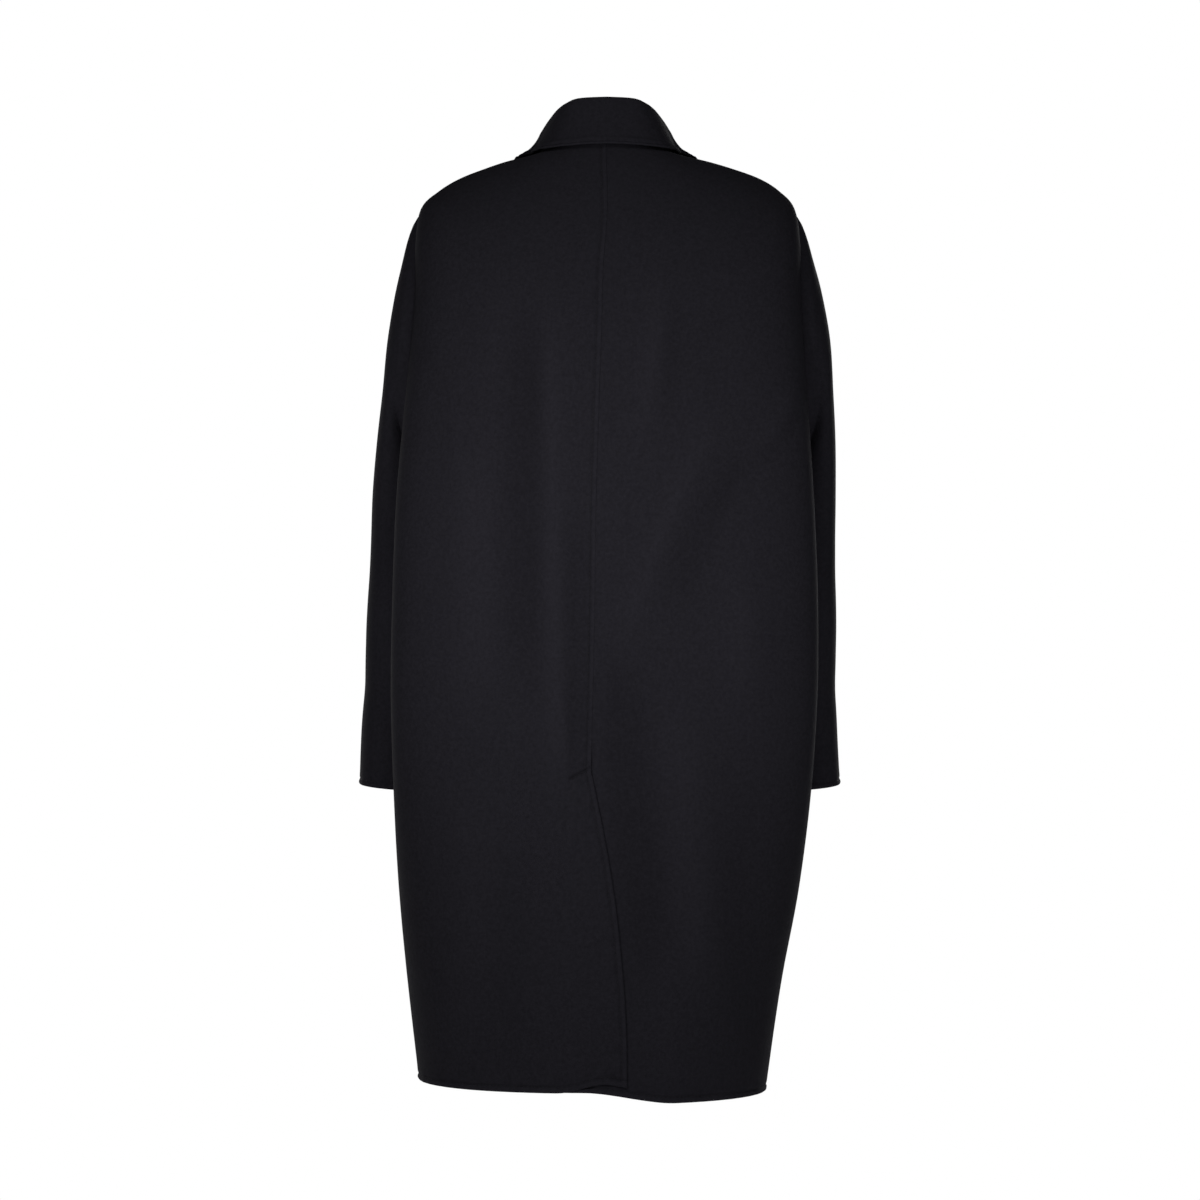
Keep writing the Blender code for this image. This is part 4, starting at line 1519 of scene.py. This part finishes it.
@dataclass
class FrontPanel(SewnPiece):
    """One front: side seam to lapped edge, with its lapel turned back on it."""

    side: Side = Side.LEFT
    opening: FrontOpening = field(default_factory=FrontOpening)
    roll_steps: int = 8
    lapel_columns: int = 18
    least_column: float = 0.2 * MM
    edge_fade: float = 0.6
    turned_share: float = 0.5
    sewn_share: float = 0.5
    sewn_from: tuple[float, float] = (4 * MM, 10 * MM)
    lapel_relief: float = 0.8
    stitched_width: float = 24 * MM

    def __post_init__(self) -> None:
        """Sets the piece's place in the coat."""
        self.node = f"front_{self.side.word}"
        self.sewn_to = (f"back_{self.side.word}", "collar")

    def cut_and_sew(self) -> None:
        """Makes the panel and its lapel with their sewn relief and stitches."""
        form, side, opening = self.form, self.side, self.opening
        break_ring = opening.break_ring(form, side)
        rings = form.rows(exact=(opening.gorge_ring, break_ring))
        outer = form.seam_station(side, rings, 1)
        edge = opening.edge_station(form, side, rings)
        lapped = ease(rings, break_ring, break_ring + self.edge_fade)
        speed = length_of(form.across(side, rings, edge))
        inset = CLOTH.round * np.where(rings < opening.gorge_ring, 1.0, 0.0) / speed
        edge_steps = EDGE_STEPS - EDGE_STEPS[0]
        stations = form.columns_between(side, rings, edge - inset, outer, edge_steps, SEAM_STEPS)
        rows = np.broadcast_to(rings[:, None], stations.shape)
        smooth = form.smooth(side, rows, stations)
        from_edge = travelled(smooth, 1)
        from_seam = from_edge[:, -1:] - from_edge + CLOTH.round
        down = travelled(smooth, 0)
        from_hem = down[-1:] - down + CLOTH.round
        lift = EDGE.relief(from_hem, from_edge) + SEAM.relief(from_seam) + SEAM.relief(down)
        lift = lift + EDGE.relief(from_edge, down) * lapped[:, None]
        points = opening.lifted(form, side, rows, stations, lift)
        # Painted light and shade from the folds and the sewn relief.
        crest = form.crest(smooth, lift)
        wall = CLOTH.thickness + self.turned_share * CLOTH.turned_extra * EDGE.turned(from_hem)
        self.grids.append(ClothGrid(points, side is Side.LEFT, wall, crest))

        normals = form.outward(side, rows, stations)
        hem_row = -1 - STITCH_STEP
        self.stitch(points[hem_row], normals[hem_row])
        straight = np.flatnonzero(rings > break_ring)[: 1 - STITCH_STEP]
        self.stitch(points[straight, STITCH_STEP], normals[straight, STITCH_STEP])
        turned = (rings >= opening.gorge_ring - SAME_RING) & (rings <= break_ring + SAME_RING)
        self.add_lapel(rings[turned], edge[turned], break_ring, points[turned, 0])

    def add_lapel(self, rings: Array, edge: Array, break_ring: float, roll: Array) -> None:
        """Turns the lapel back on the panel.

        Args:
            rings: The lapel's rows.
            edge: Stations of the roll line.
            break_ring: Ring at the lapel's foot.
            roll: Points of the roll line.
        """
        form, side, opening = self.form, self.side, self.opening
        speed = length_of(form.across(side, rings, edge))
        width = opening.lapel_width(rings, break_ring)
        half_turn = math.pi * opening.roll_radius
        in_roll = np.linspace(0, 1, self.roll_steps + 1) * np.minimum(width, half_turn)[:, None]
        rest = np.maximum(width - half_turn, self.lapel_columns * self.least_column)
        sewn = np.minimum(1, self.sewn_share * rest / EDGE_STEPS[-1])[:, None]
        near_edge = rest[:, None] - (EDGE_STEPS[::-1] - EDGE_STEPS[0]) * sewn
        plain = near_edge[:, :1] * np.linspace(0, 1, self.lapel_columns + 1)[1:-1]
        beyond = half_turn + np.concatenate([plain, near_edge], axis=1)
        short = np.minimum(width / half_turn, 1)[:, None]
        distance = np.concatenate([in_roll, beyond * short], axis=1)
        turn = np.minimum(distance / opening.roll_radius, math.pi)
        back_along = np.maximum(distance - half_turn, 0)
        forward = opening.roll_radius * np.sin(turn) - back_along
        lift = opening.roll_radius * (1 - np.cos(turn))
        rows = rings[:, None] + opening.shear(rings, break_ring)[:, None] * back_along
        stations = edge[:, None] + forward / speed[:, None]
        from_edge = distance[:, -1:] - distance
        along = travelled(form.smooth(side, rows, stations), 0)
        past_roll = ease(back_along, *self.sewn_from)
        from_gorge = along - along[:1]
        relief = EDGE.relief(from_edge, along) * past_roll + SEAM.relief(from_gorge)
        lapel = opening.lifted(form, side, rows, stations, lift + self.lapel_relief * relief)
        lapel[:, 0] = roll
        level = np.zeros(lapel.shape[:2])
        self.grids.append(ClothGrid(lapel, side is Side.RIGHT, level + CLOTH.thickness, level))
        column = -1 - STITCH_STEP
        wide = np.flatnonzero(width > self.stitched_width)
        normals = form.outward(side, rows[wide, column], stations[wide, column])
        self.stitch(lapel[wide, column] + normals * CLOTH.thickness, normals)


@dataclass
class Sleeve(SewnPiece):
    """One sleeve, from the armhole to the cuff."""

    side: Side = Side.LEFT
    columns: dict[str, Array] = field(default_factory=lambda: columns_of(SLEEVE_SECTIONS))
    blend: float = 3.5
    set_off: float = 0.3 * MM
    head_puff: float = 5.0 * MM
    head_rise: float = 6.0 * MM
    head_fade: float = 30.0 * MM
    head_power: float = 1.5
    length_samples: int = 2000
    sides: int = 100
    seam_angle: float = 180.0

    def __post_init__(self) -> None:
        """Sets the piece's place in the coat."""
        self.node = f"sleeve_{self.side.word}"
        self.sewn_to = (f"back_{self.side.word}", f"front_{self.side.word}")

    def section(self, section: Array, angle: Array) -> Array:
        """Oval sections before the sleeve is fitted to its armhole.

        Args:
            section: Section positions.
            angle: Angles, 0 outside and a quarter turn at the back.

        Returns:
            Points.
        """
        read = {name: read_smoothly(values, section) for name, values in self.columns.items()}
        shift = read["right_x"] if self.side is Side.RIGHT else 0.0
        outer_x, inner_x = read["outer_x"] + shift, read["inner_x"] + shift / 2
        half_x = (outer_x - inner_x) / 2
        turn = np.radians(read["turn"])
        depth_x, depth_y = read["half_depth"] * np.sin(turn), read["half_depth"] * np.cos(turn)
        x = (outer_x + inner_x) / 2 + half_x * np.cos(angle) + depth_x * np.sin(angle)
        y = read["middle_y"] - half_x * np.tan(turn) * np.cos(angle) + depth_y * np.sin(angle)
        half_z = (read["outer_z"] - read["inner_z"]) / 2
        z = (read["outer_z"] + read["inner_z"]) / 2 + half_z * np.cos(angle)
        return np.stack([self.side.value * x, y, z], axis=-1) * MM

    def armhole(self, angle: Array) -> Array:
        """The armhole's edge, on which the sleeve starts.

        Args:
            angle: Angles around the sleeve.

        Returns:
            Points on the body.
        """
        form = self.form
        ring = form.armhole_middle - form.armhole_half_rings * np.cos(angle)
        station = form.shoulder - form.armhole_half_station * np.sin(angle)
        return form.surface(self.side, ring, station)

    def outside(self, angle: Array) -> Array:
        """1 at the sleeve's head, 0 under the arm."""
        return ((1 + np.cos(angle)) / 2) ** self.head_power

    @staticmethod
    def crease_lift(section: Array, angle: Array) -> Array:
        """Lift of the sleeve's creases.

        Args:
            section: Section positions.
            angle: Angles in radians.

        Returns:
            Metres outwards.
        """
        total = np.zeros_like(section)
        for crease in (*SLEEVE_CREASES, *FINE_SLEEVE_CREASES):
            apart = (np.degrees(angle) - crease.angle + 180) % 360 - 180
            across_it = (section - crease.section + apart / 180 * crease.slant) / crease.reach
            total += crease.height * MM * np.exp(-(across_it**2) - (apart / crease.spread) ** 2)
        return total

    def head_lift(self, down: Array, angle: Array) -> Array:
        """Fullness of the sleeve's head beside the armhole seam.

        Args:
            down: Metres down the sleeve.
            angle: Angles in radians.

        Returns:
            Metres outwards.
        """
        rise = 1 - np.exp(-down / self.head_rise)
        fade = np.exp(-((down / self.head_fade) ** 2))
        return self.head_puff * rise * fade * self.outside(angle)

    def sections(self) -> Array:
        """Section positions of the rows, close together at the cuff.

        Returns:
            Positions from the armhole to the cuff.
        """
        last = len(SLEEVE_SECTIONS) - 1
        fine = np.linspace(0, last, self.length_samples)
        metres = travelled(self.section(fine, np.full_like(fine, math.pi / 2)), 0)
        even = np.linspace(0, metres[-1] - EDGE_STEPS[-1], round(metres[-1] / CLOTH.step))
        return np.interp(np.concatenate([even, metres[-1] - EDGE_STEPS[-2::-1]]), metres, fine)

    def cut_and_sew(self) -> None:
        """Makes the sleeve with its seam, its turned cuff and its stitches."""
        angles = np.linspace(0, 2 * math.pi, self.sides + 1)
        section, angle = np.meshgrid(self.sections(), angles, indexing="ij")
        points = self.section(section, angle)
        start = self.section(np.zeros_like(angles), angles)
        fade = 1 - ease(section, 0, self.blend)
        points = points + (self.armhole(angles) - start)[None] * fade[..., None]
        centre = points[:, :-1].mean(axis=1, keepdims=True)
        outwards = unit(points - centre)
        down = travelled(points, 0)
        from_cuff = down[-1:] - down + CLOTH.round
        around = travelled(points, 1)
        seam = round(self.sides * self.seam_angle / 360)
        from_seam = abs(around - around[:, [seam]])
        creased = self.crease_lift(section, angle)
        lift = creased + EDGE.relief(from_cuff, around) + SEAM.relief(from_seam) + SEAM.relief(down)
        normals = self.side.value * -grid_normals(points)
        points = points + outwards * lift[..., None]
        points = points + normals * self.head_lift(down, angle)[..., None]
        points[0] += unit(points[1] - points[0]) * self.set_off
        points[:, -1] = points[:, 0]
        wall = CLOTH.thickness + CLOTH.turned_extra * EDGE.turned(from_cuff)
        # Painted light and shade from the sleeve's creases: lighter on ridges, darker in hollows.
        crest = np.clip(creased / self.form.full_painted_shading, -1, 1)
        self.grids.append(ClothGrid(points, self.side is Side.LEFT, wall, crest))
        row = -1 - STITCH_STEP
        self.stitch(points[row], outwards[row])


@dataclass
class Collar(SewnPiece):
    """The collar, from the left gorge round the back to the right gorge."""

    columns: dict[str, Array] = field(default_factory=lambda: columns_of(COLLAR_STATIONS))
    opening: FrontOpening = field(default_factory=FrontOpening)
    neck_gap: float = 1.2 * MM
    gorge_gap: float = 1.0 * MM
    roll_radius: float = 2.6 * MM
    half_columns: int = 96
    stand_steps: int = 8
    roll_steps: int = 10
    fall_steps: int = 10
    relief_steps: int = 6
    on_front_station: float = 2.2
    corner_width: float = 0.3
    corner_rounding: float = 0.12
    fall_handle: float = 0.35
    edge_handle: float = 0.6
    near_edge: float = 0.8
    laid_from: tuple[float, float] = (0.1, 0.6)
    sewn_share: float = 0.55

    def __post_init__(self) -> None:
        """Sets the piece's place in the coat."""
        self.node = "collar"
        self.held = Held.FOLDED
        self.sewn_to = ("back_left", "back_right", "front_left", "front_right")

    def under(self, side: Side, ring: Array, station: Array, lift: Number) -> Array:
        """The cloth under the collar, moved out by lift.

        Args:
            side: The coat's side.
            ring: Ring positions.
            station: Station positions.
            lift: Metres outwards.

        Returns:
            Points on the body.
        """
        on_front = ease(station, self.form.shoulder, self.on_front_station)
        layer = self.opening.layer_lift(side, self.form.smooth(side, ring, station)) * on_front
        return self.form.surface(side, ring, station, lift + layer)

    def profiles(self, side: Side, places: Array) -> Array:
        """Half the collar as profiles: seam, stand, roll and fall.

        Args:
            side: The half of the coat.
            places: 0 at the centre back, 1 past the shoulder seam, 2 at the gorge.

        Returns:
            Points by step and place.
        """
        form, table, opening = self.form, self.columns, self.opening
        row = np.interp(places, table["place"], np.arange(len(COLLAR_STATIONS)))
        read = {name: read_smoothly(values, row) * MM for name, values in table.items()}
        cover, edge_lift = read["cover"], read["edge_lift"]
        forward = np.clip(places - 1, 0, 1)
        ring = opening.gorge_ring * forward
        station = opening.neck_station * places
        station = np.where(places <= 1, station, opening.edge_station(form, side, ring))
        turn_forward = ease(forward)
        away_v, away_q = form.down(side, ring, station), -form.across(side, ring, station)
        speed_v, speed_q = length_of(away_v), length_of(away_q)
        ring_rate = (1 - turn_forward) / speed_v + turn_forward * opening.gorge_shear
        station_rate = -turn_forward / speed_q
        away = unit(away_v * ring_rate[:, None] - away_q * station_rate[:, None])
        normal = form.outward(side, ring, station)
        ring = ring - np.where(places >= 2 - SAME_PLACE, self.gorge_gap, 0.0) / speed_v
        seam = form.smooth(side, ring, station)
        seam = seam + normal * (opening.layer_lift(side, seam) * turn_forward)[:, None]
        seam = seam - away * (self.neck_gap + self.gorge_gap * ease(forward, 0.5, 1.0))[:, None]

        edge_ring, edge_station = ring + cover * ring_rate, station + cover * station_rate
        if (places > 1).any():
            shoulder, point = np.argmin(abs(places - 1)), np.argmax(places)
            for line in (edge_ring, edge_station):
                straight = line[shoulder] + (line[point] - line[shoulder]) * forward
                line[:] = np.where(places > 1, straight, line)
                near_shoulder = np.exp(-(((places - 1) / self.corner_width) ** 2))
                line += (self.rounded(places, line) - line) * near_shoulder
        edge = self.under(side, edge_ring, edge_station, edge_lift)

        lean = read_smoothly(form.columns["lean"], ring) * MM
        top = np.stack([side.value * read["roll_x"] + lean, read["roll_y"], read["roll_z"]], axis=-1)
        direction = unit(top - seam)
        side_way = edge - seam
        side_way = unit(side_way - direction * (side_way * direction).sum(-1)[:, None])
        profile = [seam + (top - seam) * part for part in np.linspace(0, 1, self.stand_steps + 1)]
        radius = self.roll_radius
        for turn in np.linspace(0, math.pi, self.roll_steps + 1)[1:]:
            rolled = top + direction * radius * math.sin(turn)
            profile.append(rolled + side_way * radius * (1 - math.cos(turn)))

        start = profile[-1]
        start_lift = ((start - seam) * normal).sum(-1)
        fall = length_of(edge - start)
        reach = self.fall_handle * fall[:, None]
        over_rings, over_stations = edge_ring - ring, edge_station - station
        near = self.near_edge
        before = self.under(side, ring + near * over_rings, station + near * over_stations, edge_lift)
        handle = edge - unit(edge - before) * reach * self.edge_handle
        laid_share = ease(forward, *self.laid_from)[:, None]
        for part in self.fall_parts(fall):
            hung = cubic(start, start - direction * reach, handle, edge, part[:, None])
            lift = start_lift + (edge_lift - start_lift) * part
            laid = self.under(side, ring + over_rings * part, station + over_stations * part, lift)
            profile.append(hung + (laid - hung) * laid_share)
        return np.stack(profile)

    def rounded(self, places: Array, line: Array) -> Array:
        """The line with its corner over the shoulder rounded off.

        Args:
            places: Places along the collar.
            line: Values at these places.

        Returns:
            The running average.
        """
        weights = np.exp(-(((places[:, None] - places) / self.corner_rounding) ** 2))
        return weights @ line / weights.sum(axis=1)

    def fall_parts(self, fall: Array) -> Array:
        """How far down the fall its rows lie, close together at its edge.

        Args:
            fall: The fall's length at each place.

        Returns:
            0 to 1 by row and place.
        """
        steps = EDGE_STEPS[::-1, None]
        sewn = np.minimum(steps, self.sewn_share * fall * steps / EDGE_STEPS[-1])
        near = 1 - sewn / fall
        plain = near[:1] * np.linspace(0, 1, self.fall_steps + 1)[1:-1, None]
        return np.concatenate([plain, near])

    def cut_and_sew(self) -> None:
        """Makes the collar with its sewn edge."""
        places = np.linspace(2, 0, self.half_columns + 1)
        left = self.profiles(Side.LEFT, places)
        right = self.profiles(Side.RIGHT, places[::-1][1:])
        points = np.concatenate([left, right], axis=1)
        down, along = travelled(points, 0), travelled(points, 1)
        from_edge = down[-1:] - down + CLOTH.round
        fall_start = self.stand_steps + self.roll_steps
        in_fall = ease(np.arange(len(points)), fall_start, fall_start + self.relief_steps)
        relief = EDGE.relief(from_edge, along) * in_fall[:, None]
        normals = grid_normals(points)
        points = points + normals * relief[..., None]
        level = np.zeros(points.shape[:2])
        self.grids.append(ClothGrid(points, False, level + CLOTH.thickness, level))
        row = -1 - STITCH_STEP
        self.stitch(points[row], normals[row])


@dataclass(frozen=True)
class Lamp:
    """A soft square light: where it is, what it points at, its watts and its side."""

    name: str
    place: tuple[float, float, float]
    aim: tuple[float, float, float]
    power: float
    size: float


LAMPS = (
    Lamp("key", (0.34, 0.86, -0.37), (0.0, 0.12, -0.40), 4.2, 0.25),
    Lamp("fill", (-0.36, 0.86, -0.38), (0.0, 0.12, -0.40), 2.9, 0.25),
    Lamp("top", (0.0, 0.30, 0.95), (0.0, 0.0, -0.05), 3.0, 0.5),
    Lamp("front_key", (-0.9, -1.9, -0.2), (0.0, -0.1, -0.5), 30.0, 1.0),
    Lamp("front_fill", (1.2, -1.6, -0.5), (0.0, -0.1, -0.5), 14.0, 1.0),
)


@dataclass
class Studio:
    """Pale floor, soft light and the camera at the photo's angle."""

    picture_pixels: float = 1200.0
    metres_per_pixel: float = 1.1 * MM
    camera_distance: float = 4.2
    camera_x: float = 5.5 * MM
    camera_z: float = -486 * MM
    sensor_mm: float = 36.0
    floor_z: float = -1.45
    floor_radius: float = 1.7
    floor_sides: int = 96
    floor_paint: ClassVar[dict[str, object]] = {
        "Base Color": (0.86, 0.86, 0.87, 1.0),
        "Roughness": 0.7,
        "Emission Color": (1.0, 1.0, 1.0, 1.0),
        "Emission Strength": 0.35,
    }
    sky_strength: float = 0.10
    sky_colour: tuple[float, float, float, float] = (1.0, 1.0, 1.0, 1.0)

    def camera(self) -> None:
        """Places the camera square on to the back, as the photo is taken."""
        data = bpy.data.cameras.new("camera")
        data.sensor_width = self.sensor_mm
        data.lens = self.sensor_mm * self.camera_distance / (self.picture_pixels * self.metres_per_pixel)
        camera = bpy.data.objects.new("camera", data)
        camera.location = (self.camera_x, self.camera_distance, self.camera_z)
        camera.rotation_euler = (math.pi / 2, 0.0, math.pi)
        bpy.context.scene.collection.objects.link(camera)
        bpy.context.scene.camera = camera

    def floor(self) -> None:
        """Lays a pale round floor where a wearer would stand."""
        bpy.ops.mesh.primitive_circle_add(
            vertices=self.floor_sides,
            radius=self.floor_radius,
            fill_type="NGON",
            location=(0.0, 0.0, self.floor_z),
        )
        floor = bpy.context.object
        floor.name = "floor"
        material = bpy.data.materials.new("pale_floor")
        material.use_nodes = True
        shader = material.node_tree.nodes["Principled BSDF"]
        set_inputs(shader, self.floor_paint)
        floor.data.materials.append(material)

    @staticmethod
    def light(lamp: Lamp) -> None:
        """Hangs a soft square light.

        Args:
            lamp: Its sizes and its place.
        """
        data = bpy.data.lights.new(lamp.name, "AREA")
        data.energy = lamp.power
        data.size = lamp.size
        hung = bpy.data.objects.new(lamp.name, data)
        hung.location = lamp.place
        away = np.array(lamp.place) - np.array(lamp.aim)
        tilt = math.acos(away[2] / np.linalg.norm(away))
        swing = math.atan2(away[1], away[0]) + math.pi / 2
        hung.rotation_euler = (tilt, 0.0, swing)
        hung.visible_camera = False
        bpy.context.scene.collection.objects.link(hung)

    def sky(self) -> None:
        """Makes a white surround that lights the coat only a little."""
        world = bpy.data.worlds.new("white_surround")
        bpy.context.scene.world = world
        world.use_nodes = True
        nodes, links = world.node_tree.nodes, world.node_tree.links
        seen = nodes["Background"]
        set_inputs(seen, {"Color": self.sky_colour, "Strength": 1.0})
        lit = nodes.new("ShaderNodeBackground")
        set_inputs(lit, {"Color": self.sky_colour, "Strength": self.sky_strength})
        path = nodes.new("ShaderNodeLightPath")
        mix = nodes.new("ShaderNodeMixShader")
        links.new(path.outputs["Is Camera Ray"], mix.inputs["Fac"])
        links.new(lit.outputs["Background"], mix.inputs[1])
        links.new(seen.outputs["Background"], mix.inputs[2])
        links.new(mix.outputs["Shader"], nodes["World Output"].inputs["Surface"])

    def build(self) -> None:
        """Sets up the floor, the lights, the surround and the camera."""
        scene = bpy.context.scene
        scene.view_settings.view_transform = "Standard"
        scene.view_settings.look = "None"
        self.camera()
        self.floor()
        self.sky()
        for lamp in LAMPS:
            self.light(lamp)


def main() -> None:
    """Builds the coat's pieces in order, then the studio."""
    logging.basicConfig(level=logging.INFO, format="%(name)s: %(message)s")
    form = BodyForm()
    wardrobe = Wardrobe.make()
    pieces: list[SewnPiece] = []
    for side in Side:
        pieces.append(BackPanel(form, side=side))
        pieces.append(FrontPanel(form, side=side, cut=(0.39, 1.14), cut_area=0.325))
        pieces.append(Sleeve(form, side=side, cut=(0.42, 0.65), cut_area=0.190))
    pieces.append(Collar(form, cut=(0.60, 0.11), cut_area=0.0445))
    for piece in pieces:
        piece.dress(wardrobe)
    Studio().build()


if __name__ == "__main__":
    main()
